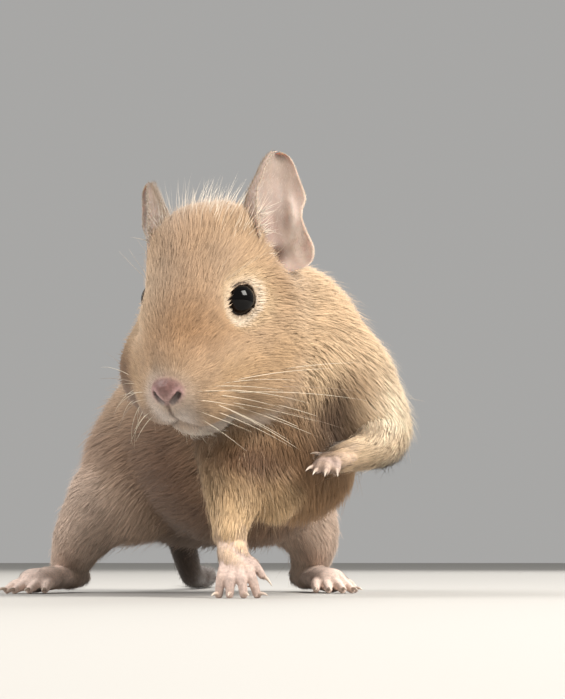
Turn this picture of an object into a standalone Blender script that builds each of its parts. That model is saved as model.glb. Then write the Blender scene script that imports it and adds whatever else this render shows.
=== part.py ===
"""A degu (Octodon degus), life size, as a still model.

The animal leans forward over its right forepaw with the left forepaw lifted,
head turned down and to its right, both hind feet planted and the tail laid
out behind. Sizes in the constants are millimetres; the meshes are metres.
+Z is up, the animal faces -Y, and the origin lies on the floor under the
middle of the whole body.
"""

import math

import bmesh
import bpy
from mathutils import Matrix, Vector

MM = 0.001

# ---------------------------------------------------------------- placement
PLACE = Vector((20.24, -89.5, 0.0))     # puts the floor-level middle at the origin
BODY_TURN = math.radians(20.0)          # the trunk's axis against -Y
HEAD_AT = Vector((-19.2, -5.0, 65.0))   # point midway between the eyes
HEAD_YAW = math.radians(-24.0)
HEAD_PITCH = math.radians(31.0)
HEAD_ROLL = math.radians(3.5)

# ---------------------------------------------------------------- clearances
SEAM = 0.55          # growth of a neighbour before it cuts a seam
SEAT = 0.35          # gap round each eyeball
CLAW_GAP = 0.3       # gap between a toe's end and its claw

# ---------------------------------------------------------------- head
CRANIUM = ((0.0, -8.0, 1.4), (13.4, 16.5, 15.2))
FOREHEAD = ((0.0, 1.6, -2.4), (11.6, 11.4, 9.8))
CROWN_AT = (4.2, -14.2, 2.8)
CROWN_RADII = (9.0, 9.0, 11.0)
SNOUT_PATH = ((0.0, 3.0, -7.2), (0.0, 11.3, -11.1), (0.0, 15.8, -14.6))
SNOUT_RADII = (10.8, 8.4, 6.5)
TEMPLE_AT = (8.3, -11.0, -8.5)
TEMPLE_RADII = (9.3, 11.0, 10.8)
LIP_AT = (4.4, 13.2, -17.6)
LIP_RADII = (5.8, 6.4, 6.2)
JAW_PATH = ((0.0, 12.2, -22.0), (0.0, 4.4, -21.6), (0.0, -7.0, -17.6))
JAW_RADII = (4.2, 8.2, 10.0)
CHEEK_AT = (10.8, -1.0, -17.6)
CHEEK_RADII = (9.8, 13.0, 11.6)
PAIRED = ((CROWN_AT, CROWN_RADII), (TEMPLE_AT, TEMPLE_RADII), (LIP_AT, LIP_RADII), (CHEEK_AT, CHEEK_RADII))

EYE_AT = (9.4, -1.4, -1.4)
EYE_RADIUS = 3.9
NOSE_AT = (0.0, 19.4, -13.1)
NOSE_RADII = (3.6, 2.6, 3.0)

# ---------------------------------------------------------------- ears
EAR_WIDTH = 17.4
EAR_CUP = 4.2
EAR_WALL = 1.3
EAR_TOP = 0.985       # share of the length where the last row of points lies
EAR_SPREAD = (0.78, 0.95, -1.25)   # half-width up the ear: at the base, then its rise and fall
EAR_TIP_ROUND = 4     # power that closes the outline at the tip
EAR_FLATTEN = 0.55    # share of the cup's depth lost at the tip
EAR_TIP_THIN = 0.45   # share of the wall lost at the tip
EAR_RIM_THIN = 0.35   # share of the wall lost at the rims
EAR_FOLD = 4.0        # how far the inner edge turns forward
EAR_FOLD_START = 0.6  # share of the half-width where that turn starts
# each ear: its base, its tip and the way it faces
LEFT_EAR = ((0.6, 1.5, 71.2), (-1.4, 4.5, 99.0), (0.5, -0.86, -0.05))
RIGHT_EAR = ((-27.5, 11.0, 70.0), (-30.8, 12.0, 93.0), (-0.93, -0.36, 0.0))
EAR_ROWS = 10
EAR_COLUMNS = 7

# ---------------------------------------------------------------- trunk
NECK_PATH = ((-12.0, 11.0, 61.0), (-1.0, 18.5, 60.5), (0.5, 23.0, 56.0))
NECK_RADII = (14.5, 17.2, 19.8)
SPINE_PATH = ((0.5, 25.0, 49.0), (-5.5, 41.0, 43.5), (-14.5, 61.0, 39.5), (-22.0, 78.0, 36.5))
SPINE_RADII = (21.8, 25.2, 27.6, 26.6)
CHEST = ((2.0, 18.0, 36.0), (18.5, 17.0, 21.0))
BELLY = ((-9.0, 48.0, 34.0), (23.0, 30.0, 24.5))

# ---------------------------------------------------------------- forelegs
LEFT_ARM_PATH = ((12.5, 18.0, 47.5), (21.0, 15.5, 38.0), (20.6, 7.6, 33.5), (14.6, 2.8, 30.8))
LEFT_ARM_RADII = (14.8, 8.2, 5.2, 3.5)
RIGHT_ARM_PATH = ((-9.0, 13.0, 34.0), (-10.3, 4.5, 24.0), (-11.3, -1.6, 15.0))
RIGHT_ARM_RADII = (11.5, 7.4, 4.0)
RIGHT_ELBOW = ((-2.5, 7.0, 24.5), (7.5, 7.0, 9.0))

LEFT_PALM_PATH = ((14.6, 2.8, 30.8), (12.0, -0.2, 29.8), (10.4, -1.8, 29.0))
RIGHT_PALM_PATH = ((-11.3, -2.0, 14.5), (-10.6, -4.6, 9.6), (-9.9, -6.0, 6.6))
PALM_RADII = (3.1, 3.4, 3.3)
PALM_FLATNESS = 0.62
SIDEWAYS = (1.0, 0.0, 0.0)                # a sole's broad way
LEFT_PALM_ACROSS = (0.55, -0.85, 0.0)     # the lifted palm's broad way
FINGER_RADII = (1.25, 1.2, 0.95)
FINGER_BOW = Vector((0.0, -0.16, 0.10))   # rise of a finger's middle, as a share of its length
LEFT_FINGER_ENDS = (
    (9.0, 1.2, 30.6), (6.9, -4.4, 28.0), (7.6, -6.3, 27.4), (9.4, -7.3, 27.2), (11.6, -6.7, 27.4))
RIGHT_FINGER_ENDS = (
    (-4.4, -6.0, 4.9), (-5.4, -8.2, 0.75), (-8.2, -9.2, 0.75), (-11.2, -9.0, 0.75), (-13.6, -8.0, 0.75))
LEFT_KNUCKLES = (
    (11.8, 0.2, 29.8), (10.0, -0.6, 29.2), (9.4, -2.0, 29.1), (10.0, -3.2, 29.0), (11.4, -3.2, 29.2))
RIGHT_KNUCKLES = (
    (-7.9, -4.6, 8.4), (-7.8, -6.0, 6.8), (-9.3, -6.4, 6.2), (-11.0, -6.3, 6.3), (-12.4, -5.6, 6.8))

# ---------------------------------------------------------------- hind legs
RIGHT_THIGH = ((-37.0, 69.0, 29.0), (14.0, 20.0, 18.0))
LEFT_THIGH = ((-4.0, 80.5, 29.0), (14.0, 20.0, 18.0))
RIGHT_SHIN_PATH = ((-43.5, 65.0, 22.5), (-50.0, 67.5, 14.0), (-53.6, 73.5, 6.8))
LEFT_SHIN_PATH = ((3.0, 74.0, 22.5), (7.2, 77.0, 14.0), (7.0, 82.5, 6.8))
SHIN_RADII = (11.0, 7.4, 4.9)
RIGHT_FOOT_PATH = ((-52.6, 76.0, 4.2), (-56.5, 66.0, 3.7), (-60.5, 56.5, 3.1))
LEFT_FOOT_PATH = ((5.6, 85.5, 4.2), (9.0, 74.5, 3.7), (12.0, 64.0, 3.1))
FOOT_RADII = (3.9, 3.9, 4.1)
FOOT_FLATNESS = 0.78
TOE_COUNT = 5
TOE_SPREAD = math.radians(17.0)
TOE_SPACING = 1.75
TOE_LENGTHS = (5.0, 8.2, 9.4, 8.4, 5.6)
TOE_RADII = (1.5, 1.45, 1.05)
TOE_HEIGHTS = (2.4, 2.1, 0.95)
TOE_SETBACK = 0.6    # how far each outer toe starts behind its inner neighbour

CLAW_LENGTH = 2.0
FLOOR_TOE = 2.0      # a toe ending lower than this lies on the floor
CLAW_RADIUS = 0.55
CLAW_DROOP = 0.22
CLAW_TAPER = 0.75    # share of the radius lost by the claw's tip

# ---------------------------------------------------------------- tail
TAIL_PATH = ((-27.0, 97.0, 29.0), (-27.5, 109.0, 16.5), (-25.5, 121.0, 5.4), (-24.0, 138.0, 3.0))
TAIL_RADII = (7.8, 4.8, 3.6, 3.1)
BRUSH_PATH = (
    (-24.0, 138.0, 3.0), (-22.5, 155.0, 2.7), (-22.5, 171.0, 2.8), (-24.5, 184.0, 3.0), (-27.5, 194.0, 2.0))
BRUSH_RADII = (3.1, 2.8, 2.9, 3.5, 1.5)

# ---------------------------------------------------------------- looks: colour, roughness
GOLDEN_COAT = ((0.62, 0.37, 0.17), 0.85)
DUSKY_COAT = ((0.36, 0.24, 0.16), 0.88)
BRUSH_COAT = ((0.22, 0.14, 0.09), 0.9)
EAR_SKIN = ((0.62, 0.43, 0.34), 0.6)
PAW_SKIN = ((0.72, 0.52, 0.45), 0.65)
NOSE_SKIN = ((0.50, 0.28, 0.25), 0.5)
EYE_BLACK = ((0.008, 0.006, 0.006), 0.05)
CLAW_HORN = ((0.74, 0.64, 0.54), 0.4)

# ---------------------------------------------------------------- mesh fineness
# voxel size, smoothing passes and share of faces kept, for each fused body
HEAD_FUSE = (1.5, 3, 0.103)
NECK_FUSE = (2.4, 1, 0.2)
TRUNK_FUSE = (2.6, 5, 0.12)
ARM_FUSE = (1.5, 2, 0.14)
LEG_FUSE = (1.5, 3, 0.09)
PAW_FUSE = (0.62, 1, 0.17)
FOOT_FUSE = (0.62, 1, 0.07)
LIMB_SIDES = 16
LIMB_STEPS = 5       # rings between two points of a path
TOE_STEPS = 3
TAIL_STEPS = 3
BRUSH_STEPS = 2
TAIL_SIDES = 10
TOE_SIDES = 10
CLAW_SIDES = 6
CLAW_ROWS = 3
EYE_SIDES = 16
CAP_ROWS = 4         # rings in the rounded end of a limb
FLOOR_SLAB = Vector((200.0, 300.0, 40.0))


def head_frame():
    """The head's own frame: x to its left, -y along its nose, z to its crown."""
    yaw = Matrix.Rotation(HEAD_YAW, 4, "Z")
    pitch = Matrix.Rotation(HEAD_PITCH, 4, "X")
    roll = Matrix.Rotation(HEAD_ROLL, 4, "Y")
    return Matrix.Translation(HEAD_AT) @ yaw @ pitch @ roll


HEAD = head_frame()
TRUNK = Matrix.Rotation(BODY_TURN, 4, "Z")


def on_head(left, forward, up):
    return HEAD @ Vector((left, -forward, up))


def clear_scene():
    for item in list(bpy.data.objects):
        bpy.data.objects.remove(item, do_unlink=True)


def make_material(name, colour, roughness):
    material = bpy.data.materials.new(name)
    material.use_nodes = True
    shader = material.node_tree.nodes["Principled BSDF"]
    shader.inputs["Base Color"].default_value = (*colour, 1.0)
    shader.inputs["Roughness"].default_value = roughness
    shader.inputs["Metallic"].default_value = 0.0
    material.diffuse_color = (*colour, 1.0)
    return material


# ------------------------------------------------------------------ solids
def add_ball(mesh, centre, radii, axes, grow=0.0, detail=3):
    """An ellipsoid at a world centre, its radii along the given axes."""
    place = Matrix.Translation(centre) @ axes.to_3x3().to_4x4()
    size = Matrix.Diagonal((radii[0] + grow, radii[1] + grow, radii[2] + grow, 1.0))
    bmesh.ops.create_icosphere(mesh, subdivisions=detail, radius=1.0, matrix=place @ size)


def curve_point(points, t):
    """Catmull-Rom point on an open path at t from 0 to 1."""
    spans = len(points) - 1
    span = min(int(t * spans), spans - 1)
    u = t * spans - span
    a = points[max(span - 1, 0)]
    b, c = points[span], points[span + 1]
    d = points[min(span + 2, spans)]
    square = 2.0 * a - 5.0 * b + 4.0 * c - d
    cube = 3.0 * b - a - 3.0 * c + d
    return 0.5 * (2.0 * b + (c - a) * u + square * u ** 2 + cube * u ** 3)


def add_limb(mesh, path, radii, grow=0.0, sides=LIMB_SIDES, flatness=1.0, across=None,
             steps=LIMB_STEPS):
    """A tube along a smooth path with its own radius at each point and round ends.

    A flatness under one thins the tube at right angles to the vector across.
    """
    points = [Vector(p) for p in path]
    widths = [Vector((r + grow, 0.0, 0.0)) for r in radii]
    count = steps * (len(points) - 1)
    centres = [curve_point(points, i / count) for i in range(count + 1)]
    sizes = [curve_point(widths, i / count).x for i in range(count + 1)]
    tangents = []
    for i in range(count + 1):
        ahead = centres[min(i + 1, count)] - centres[max(i - 1, 0)]
        tangents.append(ahead.normalized())
    side = Vector(across) if across else tangents[0].orthogonal()
    reach = math.sqrt(flatness)

    def end_cap(centre, size, tangent, outward):
        tip = outward * size * reach
        angles = [math.pi / 2.0 * k / CAP_ROWS for k in range(1, CAP_ROWS)]
        turned = [(centre + tip * math.sin(a), size * math.cos(a), tangent) for a in angles]
        return turned, centre + tip

    first, first_tip = end_cap(centres[0], sizes[0], tangents[0], -tangents[0])
    last, last_tip = end_cap(centres[-1], sizes[-1], tangents[-1], tangents[-1])
    rings = first[::-1] + list(zip(centres, sizes, tangents)) + last
    loops = []
    for centre, size, along in rings:
        side = (side - along * side.dot(along)).normalized()
        reach_out, reach_up = side * size, along.cross(side) * size * flatness
        loops.append([mesh.verts.new(centre + reach_out * math.cos(a) + reach_up * math.sin(a))
                      for a in (2.0 * math.pi * j / sides for j in range(sides))])
    start, finish = mesh.verts.new(first_tip), mesh.verts.new(last_tip)
    made = []
    for lower, upper in zip(loops, loops[1:]):
        for j in range(sides):
            k = (j + 1) % sides
            made.append(mesh.faces.new((lower[j], lower[k], upper[k], upper[j])))
    for j in range(sides):
        k = (j + 1) % sides
        made.append(mesh.faces.new((start, loops[0][k], loops[0][j])))
        made.append(mesh.faces.new((finish, loops[-1][j], loops[-1][k])))
    bmesh.ops.recalc_face_normals(mesh, faces=made)


# ------------------------------------------------------------------ flesh shapes
def fill_head(mesh, grow=0.0):
    for centre, radii in (CRANIUM, FOREHEAD):
        add_ball(mesh, on_head(*centre), radii, HEAD, grow)
    for sign in (-1.0, 1.0):
        for centre, radii in PAIRED:
            add_ball(mesh, on_head(sign * centre[0], *centre[1:]), radii, HEAD, grow)
    add_limb(mesh, [on_head(*p) for p in SNOUT_PATH], SNOUT_RADII, grow)
    add_limb(mesh, [on_head(*p) for p in JAW_PATH], JAW_RADII, grow)


def fill_neck(mesh, grow=0.0):
    add_limb(mesh, NECK_PATH, NECK_RADII, grow)


def fill_trunk(mesh, grow=0.0):
    add_limb(mesh, SPINE_PATH, SPINE_RADII, grow, sides=2 * LIMB_SIDES)
    for centre, radii in (CHEST, BELLY):
        add_ball(mesh, Vector(centre), radii, TRUNK, grow)


def fill_left_arm(mesh, grow=0.0):
    add_limb(mesh, LEFT_ARM_PATH, LEFT_ARM_RADII, grow)


def fill_right_arm(mesh, grow=0.0):
    add_limb(mesh, RIGHT_ARM_PATH, RIGHT_ARM_RADII, grow)
    add_ball(mesh, Vector(RIGHT_ELBOW[0]), RIGHT_ELBOW[1], TRUNK, grow)


def fill_leg(mesh, thigh, shin, grow=0.0):
    add_ball(mesh, Vector(thigh[0]), thigh[1], TRUNK, grow)
    add_limb(mesh, shin, SHIN_RADII, grow)


def fill_left_leg(mesh, grow=0.0):
    fill_leg(mesh, LEFT_THIGH, LEFT_SHIN_PATH, grow)


def fill_right_leg(mesh, grow=0.0):
    fill_leg(mesh, RIGHT_THIGH, RIGHT_SHIN_PATH, grow)


def finger_path(knuckle, end):
    """A finger bows away from the straight line between knuckle and end."""
    start, stop = Vector(knuckle), Vector(end)
    bow = FINGER_BOW * (stop - start).length
    return (start, (start + stop) * 0.5 + bow, stop)


def fill_left_paw(mesh, grow=0.0):
    add_limb(mesh, LEFT_PALM_PATH, PALM_RADII, grow, flatness=PALM_FLATNESS, across=LEFT_PALM_ACROSS)
    for knuckle, end in zip(LEFT_KNUCKLES, LEFT_FINGER_ENDS):
        add_limb(mesh, finger_path(knuckle, end), FINGER_RADII, grow, sides=TOE_SIDES, steps=TOE_STEPS)


def fill_right_paw(mesh, grow=0.0):
    add_limb(mesh, RIGHT_PALM_PATH, PALM_RADII, grow, flatness=PALM_FLATNESS, across=SIDEWAYS)
    for knuckle, end in zip(RIGHT_KNUCKLES, RIGHT_FINGER_ENDS):
        add_limb(mesh, finger_path(knuckle, end), FINGER_RADII, grow, sides=TOE_SIDES, steps=TOE_STEPS)


def toe_paths(foot_path):
    """Five toes fan out from the front of the foot and end on the floor."""
    ball = Vector(foot_path[-1])
    along = (ball - Vector(foot_path[-2]))
    along.z = 0.0
    along.normalize()
    out = Vector((along.y, -along.x, 0.0))
    paths = []
    for i, length in enumerate(TOE_LENGTHS):
        offset = i - (TOE_COUNT - 1) / 2.0
        heading = Matrix.Rotation(-TOE_SPREAD * offset / 2.0, 3, "Z") @ along
        root = ball + out * offset * TOE_SPACING - along * TOE_SETBACK * abs(offset)
        end = root + heading * length
        middle = (root + end) * 0.5
        root.z, middle.z, end.z = TOE_HEIGHTS
        paths.append((root, middle, end))
    return paths


def fill_foot(mesh, path, grow=0.0):
    add_limb(mesh, path, FOOT_RADII, grow, flatness=FOOT_FLATNESS, across=SIDEWAYS)
    for toe in toe_paths(path):
        add_limb(mesh, toe, TOE_RADII, grow, sides=TOE_SIDES, steps=TOE_STEPS)


def fill_left_foot(mesh, grow=0.0):
    fill_foot(mesh, LEFT_FOOT_PATH, grow)


def fill_right_foot(mesh, grow=0.0):
    fill_foot(mesh, RIGHT_FOOT_PATH, grow)


def fill_tail(mesh, grow=0.0):
    add_limb(mesh, TAIL_PATH, TAIL_RADII, grow, sides=TAIL_SIDES, steps=TAIL_STEPS)


def fill_brush(mesh, grow=0.0):
    add_limb(mesh, BRUSH_PATH, BRUSH_RADII, grow, sides=TAIL_SIDES, steps=BRUSH_STEPS)


def fill_nose(mesh, grow=0.0):
    add_ball(mesh, on_head(*NOSE_AT), NOSE_RADII, HEAD, grow, detail=2)


def fill_eye(mesh, sign, grow=0.0):
    centre = on_head(sign * EYE_AT[0], *EYE_AT[1:])
    radius = EYE_RADIUS + grow
    poles_sideways = Matrix.Rotation(math.radians(90.0), 4, "Y")
    place = Matrix.Translation(centre) @ HEAD.to_3x3().to_4x4() @ poles_sideways
    bmesh.ops.create_uvsphere(
        mesh, u_segments=EYE_SIDES, v_segments=EYE_SIDES // 2, radius=radius, matrix=place)


def fill_left_eye(mesh, grow=0.0):
    fill_eye(mesh, 1.0, grow)


def fill_right_eye(mesh, grow=0.0):
    fill_eye(mesh, -1.0, grow)


def fill_floor(mesh, _=0.0):
    """A slab whose top is the floor, used to flatten what rests on it."""
    middle = Matrix.Translation((-PLACE.x, -PLACE.y, -FLOOR_SLAB.z / 2.0))
    bmesh.ops.create_cube(mesh, size=1.0, matrix=middle @ Matrix.Diagonal((*FLOOR_SLAB, 1.0)))


# ------------------------------------------------------------------ ears
def ear_outline(t):
    """Half-width of the ear, as a share of the widest, from base 0 to tip 1."""
    base, rise, fall = EAR_SPREAD
    return (base + rise * t + fall * t * t) * math.sqrt(max(1.0 - t ** EAR_TIP_ROUND, 0.0))


def fill_ear(mesh, inner, base, tip, facing):
    """A cupped leaf with a wall, its hollow side towards the vector facing.

    The edge on the side inner (-1 or 1) turns forward.
    """
    base, tip = Vector(base), Vector(tip)
    rise = (tip - base).normalized()
    open_way = Vector(facing)
    open_way = (open_way - rise * open_way.dot(rise)).normalized()
    wide = rise.cross(open_way)
    length = (tip - base).length
    fronts, backs = [], []
    for i in range(EAR_ROWS + 1):
        t = i / EAR_ROWS * EAR_TOP
        half = 0.5 * EAR_WIDTH * ear_outline(t)
        front_row, back_row = [], []
        for j in range(EAR_COLUMNS):
            s = 2.0 * j / (EAR_COLUMNS - 1) - 1.0
            fold = EAR_FOLD * max(inner * s - EAR_FOLD_START, 0.0) / (1.0 - EAR_FOLD_START)
            fold *= math.sqrt(max(1.0 - t ** EAR_TIP_ROUND, 0.0))
            depth = EAR_CUP * (1.0 - s * s) * (1.0 - EAR_FLATTEN * t) - fold
            wall = EAR_WALL * (1.0 - EAR_TIP_THIN * t) * (1.0 - EAR_RIM_THIN * s * s)
            point = base + rise * (length * t) + wide * (half * s) - open_way * depth
            front_row.append(mesh.verts.new(point))
            back_row.append(mesh.verts.new(point - open_way * wall))
        fronts.append(front_row)
        backs.append(back_row)
    made = []
    for rows, flip in ((fronts, False), (backs, True)):
        for lower, upper in zip(rows, rows[1:]):
            for j in range(EAR_COLUMNS - 1):
                face = [lower[j], lower[j + 1], upper[j + 1], upper[j]]
                made.append(mesh.faces.new(reversed(face) if flip else face))
    rim = []
    rim += [(fronts[i][0], backs[i][0]) for i in range(EAR_ROWS, -1, -1)]
    rim += [(fronts[0][j], backs[0][j]) for j in range(1, EAR_COLUMNS)]
    rim += [(fronts[i][-1], backs[i][-1]) for i in range(1, EAR_ROWS + 1)]
    rim += [(fronts[-1][j], backs[-1][j]) for j in range(EAR_COLUMNS - 2, 0, -1)]
    for (a, b), (c, d) in zip(rim, rim[1:] + rim[:1]):
        made.append(mesh.faces.new((a, b, d, c)))
    bmesh.ops.recalc_face_normals(mesh, faces=made)


# ------------------------------------------------------------------ claws
def add_claw(mesh, end, heading):
    """A short curved spike that starts just clear of the toe's end."""
    heading = Vector(heading).normalized()
    start = Vector(end) + heading * CLAW_GAP
    sides, rows = CLAW_SIDES, CLAW_ROWS
    side = heading.orthogonal().normalized()
    lift = heading.cross(side)
    loops = []
    for i in range(rows):
        t = i / rows
        centre = start + heading * CLAW_LENGTH * t - Vector((0.0, 0.0, 1.0)) * CLAW_DROOP * t * t
        size = CLAW_RADIUS * (1.0 - CLAW_TAPER * t)
        loops.append([mesh.verts.new(centre + (side * math.cos(a) + lift * math.sin(a)) * size)
                      for a in (2.0 * math.pi * j / sides for j in range(sides))])
    tip = mesh.verts.new(start + heading * CLAW_LENGTH - Vector((0.0, 0.0, 1.0)) * CLAW_DROOP)
    made = [mesh.faces.new(loops[0])]
    for lower, upper in zip(loops, loops[1:]):
        for j in range(sides):
            k = (j + 1) % sides
            made.append(mesh.faces.new((lower[j], lower[k], upper[k], upper[j])))
    for j in range(sides):
        made.append(mesh.faces.new((loops[-1][j], loops[-1][(j + 1) % sides], tip)))
    bmesh.ops.recalc_face_normals(mesh, faces=made)


# ------------------------------------------------------------------ objects
def make_object(name, mesh, parent, look=None):
    """Turn millimetres into a metre-sized object whose origin is its own middle."""
    middle = sum((v.co for v in mesh.verts), Vector()) / len(mesh.verts)
    bmesh.ops.translate(mesh, vec=-middle, verts=mesh.verts)
    bmesh.ops.scale(mesh, vec=(MM, MM, MM), verts=mesh.verts)
    data = bpy.data.meshes.new(name)
    mesh.to_mesh(data)
    mesh.free()
    data.shade_smooth()
    item = bpy.data.objects.new(name, data)
    bpy.context.collection.objects.link(item)
    item.parent = parent
    item.location = middle * MM
    if look:
        data.materials.append(make_material(name, *look))
    return item


def fuse(item, voxel, passes, keep):
    """Melt the overlapping volumes of one mesh into a single rounded body."""
    remesh = item.modifiers.new("fuse", "REMESH")
    remesh.mode = "VOXEL"
    remesh.voxel_size = voxel * MM
    remesh.use_smooth_shade = True
    soften = item.modifiers.new("soften", "SMOOTH")
    soften.factor = 0.5
    soften.iterations = passes
    if keep < 1.0:
        lighten = item.modifiers.new("lighten", "DECIMATE")
        lighten.ratio = keep


def cut(item, *cutters):
    for cutter in cutters:
        modifier = item.modifiers.new("cut_" + cutter.name, "BOOLEAN")
        modifier.operation = "DIFFERENCE"
        modifier.solver = "EXACT"
        modifier.object = cutter


def make_piece(name, fill, parent, look, fineness=None):
    mesh = bmesh.new()
    fill(mesh, 0.0)
    item = make_object(name, mesh, parent, look)
    if fineness:
        fuse(item, *fineness)
    return item


def make_cutter(name, fill, parent, fineness=None, grow=SEAM):
    """The same shape grown by a clearance, which only cuts its neighbours."""
    item = make_piece("clear_" + name, lambda mesh, _: fill(mesh, grow), parent, None, fineness)
    item.hide_render = True
    item.display_type = "WIRE"
    return item


def build():
    clear_scene()
    root = bpy.data.objects.new("degu", None)
    bpy.context.collection.objects.link(root)
    root.location = PLACE * MM

    head = make_piece("head", fill_head, root, GOLDEN_COAT, HEAD_FUSE)
    neck = make_piece("neck", fill_neck, root, GOLDEN_COAT, NECK_FUSE)
    trunk = make_piece("trunk", fill_trunk, root, DUSKY_COAT, TRUNK_FUSE)
    left_arm = make_piece("foreleg_left", fill_left_arm, root, GOLDEN_COAT, ARM_FUSE)
    right_arm = make_piece("foreleg_right", fill_right_arm, root, GOLDEN_COAT, ARM_FUSE)
    left_leg = make_piece("hindleg_left", fill_left_leg, root, DUSKY_COAT, LEG_FUSE)
    right_leg = make_piece("hindleg_right", fill_right_leg, root, DUSKY_COAT, LEG_FUSE)
    left_paw = make_piece("forepaw_left", fill_left_paw, root, PAW_SKIN, PAW_FUSE)
    right_paw = make_piece("forepaw_right", fill_right_paw, root, PAW_SKIN, PAW_FUSE)
    left_foot = make_piece("hindfoot_left", fill_left_foot, root, PAW_SKIN, FOOT_FUSE)
    right_foot = make_piece("hindfoot_right", fill_right_foot, root, PAW_SKIN, FOOT_FUSE)
    tail = make_piece("tail_base", fill_tail, root, DUSKY_COAT)
    brush = make_piece("tail_brush", fill_brush, root, BRUSH_COAT)
    make_piece("nose", fill_nose, root, NOSE_SKIN)
    make_piece("eye_left", fill_left_eye, root, EYE_BLACK)
    make_piece("eye_right", fill_right_eye, root, EYE_BLACK)

    ears = []
    for name, inner, shape in (("ear_left", -1.0, LEFT_EAR), ("ear_right", 1.0, RIGHT_EAR)):
        mesh = bmesh.new()
        fill_ear(mesh, inner, *shape)
        ears.append(make_object(name, mesh, root, EAR_SKIN))

    left_fingers = [finger_path(k, e) for k, e in zip(LEFT_KNUCKLES, LEFT_FINGER_ENDS)]
    right_fingers = [finger_path(k, e) for k, e in zip(RIGHT_KNUCKLES, RIGHT_FINGER_ENDS)]
    toe_sets = (
        ("claw_fore_left", left_fingers, FINGER_RADII[-1]),
        ("claw_fore_right", right_fingers, FINGER_RADII[-1]),
        ("claw_hind_left", toe_paths(LEFT_FOOT_PATH), TOE_RADII[-1]),
        ("claw_hind_right", toe_paths(RIGHT_FOOT_PATH), TOE_RADII[-1]),
    )
    for stem, paths, radius in toe_sets:
        for number, path in enumerate(paths, 1):
            heading = path[-1] - path[0]
            if path[-1].z < FLOOR_TOE:
                heading.z = 0.0
            heading.normalize()
            mesh = bmesh.new()
            add_claw(mesh, path[-1] + heading * radius, heading)
            make_object("%s_%d" % (stem, number), mesh, root, CLAW_HORN)

    head_clear = make_cutter("head", fill_head, root, HEAD_FUSE)
    neck_clear = make_cutter("neck", fill_neck, root, NECK_FUSE)
    trunk_clear = make_cutter("trunk", fill_trunk, root, TRUNK_FUSE)
    left_arm_clear = make_cutter("foreleg_left", fill_left_arm, root, ARM_FUSE)
    right_arm_clear = make_cutter("foreleg_right", fill_right_arm, root, ARM_FUSE)
    left_leg_clear = make_cutter("hindleg_left", fill_left_leg, root, LEG_FUSE)
    right_leg_clear = make_cutter("hindleg_right", fill_right_leg, root, LEG_FUSE)
    tail_clear = make_cutter("tail_base", fill_tail, root)
    nose_clear = make_cutter("nose", fill_nose, root)
    left_eye_clear = make_cutter("eye_left", fill_left_eye, root, grow=SEAT)
    right_eye_clear = make_cutter("eye_right", fill_right_eye, root, grow=SEAT)
    floor = make_cutter("floor", fill_floor, root)

    cut(head, nose_clear, left_eye_clear, right_eye_clear)
    cut(neck, head_clear, trunk_clear, left_eye_clear)
    cut(trunk, head_clear)
    cut(left_arm, trunk_clear, neck_clear, head_clear)
    cut(right_arm, trunk_clear, head_clear)
    cut(left_leg, trunk_clear)
    cut(right_leg, trunk_clear)
    cut(left_paw, left_arm_clear)
    cut(right_paw, right_arm_clear, floor)
    cut(left_foot, left_leg_clear, floor)
    cut(right_foot, right_leg_clear, floor)
    cut(tail, trunk_clear, floor)
    cut(brush, tail_clear, floor)
    for ear in ears:
        cut(ear, head_clear, neck_clear)


build()
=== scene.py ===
import math

import bmesh
import bpy
import numpy as np
from mathutils import Matrix, Vector


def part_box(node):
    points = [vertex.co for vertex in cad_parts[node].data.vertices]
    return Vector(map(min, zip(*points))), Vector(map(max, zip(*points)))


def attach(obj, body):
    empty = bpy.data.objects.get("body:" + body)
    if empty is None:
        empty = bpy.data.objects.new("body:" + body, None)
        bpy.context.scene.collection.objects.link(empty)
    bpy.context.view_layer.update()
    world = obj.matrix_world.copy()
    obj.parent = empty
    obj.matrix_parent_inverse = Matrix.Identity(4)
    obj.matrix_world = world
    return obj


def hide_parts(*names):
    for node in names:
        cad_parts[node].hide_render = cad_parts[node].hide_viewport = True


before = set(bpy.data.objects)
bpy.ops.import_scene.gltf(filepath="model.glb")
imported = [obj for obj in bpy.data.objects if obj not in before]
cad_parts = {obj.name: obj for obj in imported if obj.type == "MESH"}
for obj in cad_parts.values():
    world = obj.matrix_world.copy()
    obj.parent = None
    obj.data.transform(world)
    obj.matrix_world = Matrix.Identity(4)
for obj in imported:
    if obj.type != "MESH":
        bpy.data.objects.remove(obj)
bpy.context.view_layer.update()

MM = 0.001
RNG = np.random.default_rng(20240611)
SIDES = {"left": 1.0, "right": -1.0}
FAR = 60.0
REACH = 9.0

# ------------------------------------------------------------------ frames of the head and the body
# millimetres: x to the animal's left, y away from the viewer, z up from the floor
HEAD_AT = np.array((-19.2, -5.0, 65.0))
HEAD_YAW, HEAD_PITCH, HEAD_ROLL = math.radians(-24.0), math.radians(31.0), math.radians(3.5)
BODY_TURN = math.radians(20.0)
EYE_AT = (9.4, -1.4, -1.4)
EYE_RADIUS = 3.9


def turn_matrix(angle, axis):
    return np.array(Matrix.Rotation(angle, 3, axis))


HEAD = turn_matrix(HEAD_YAW, "Z") @ turn_matrix(HEAD_PITCH, "X") @ turn_matrix(HEAD_ROLL, "Y")
TRUNK = turn_matrix(BODY_TURN, "Z")


def head_way(left, forward, up):
    return HEAD @ np.array((left, -forward, up))


def on_head(left, forward, up):
    return HEAD_AT + head_way(left, forward, up)


def in_head(points):
    """Left, forward and up of points, seen from the middle between the eyes."""
    local = (points - HEAD_AT) @ HEAD
    return local[:, 0], -local[:, 1], local[:, 2]


EYES = {side: on_head(sign * EYE_AT[0], *EYE_AT[1:]) for side, sign in SIDES.items()}
low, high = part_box("eye_left")
PLACE = np.array((low + high) * 0.5) / MM - EYES["left"]


def to_metres(points):
    return (np.asarray(points, float) + PLACE) * MM


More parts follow.
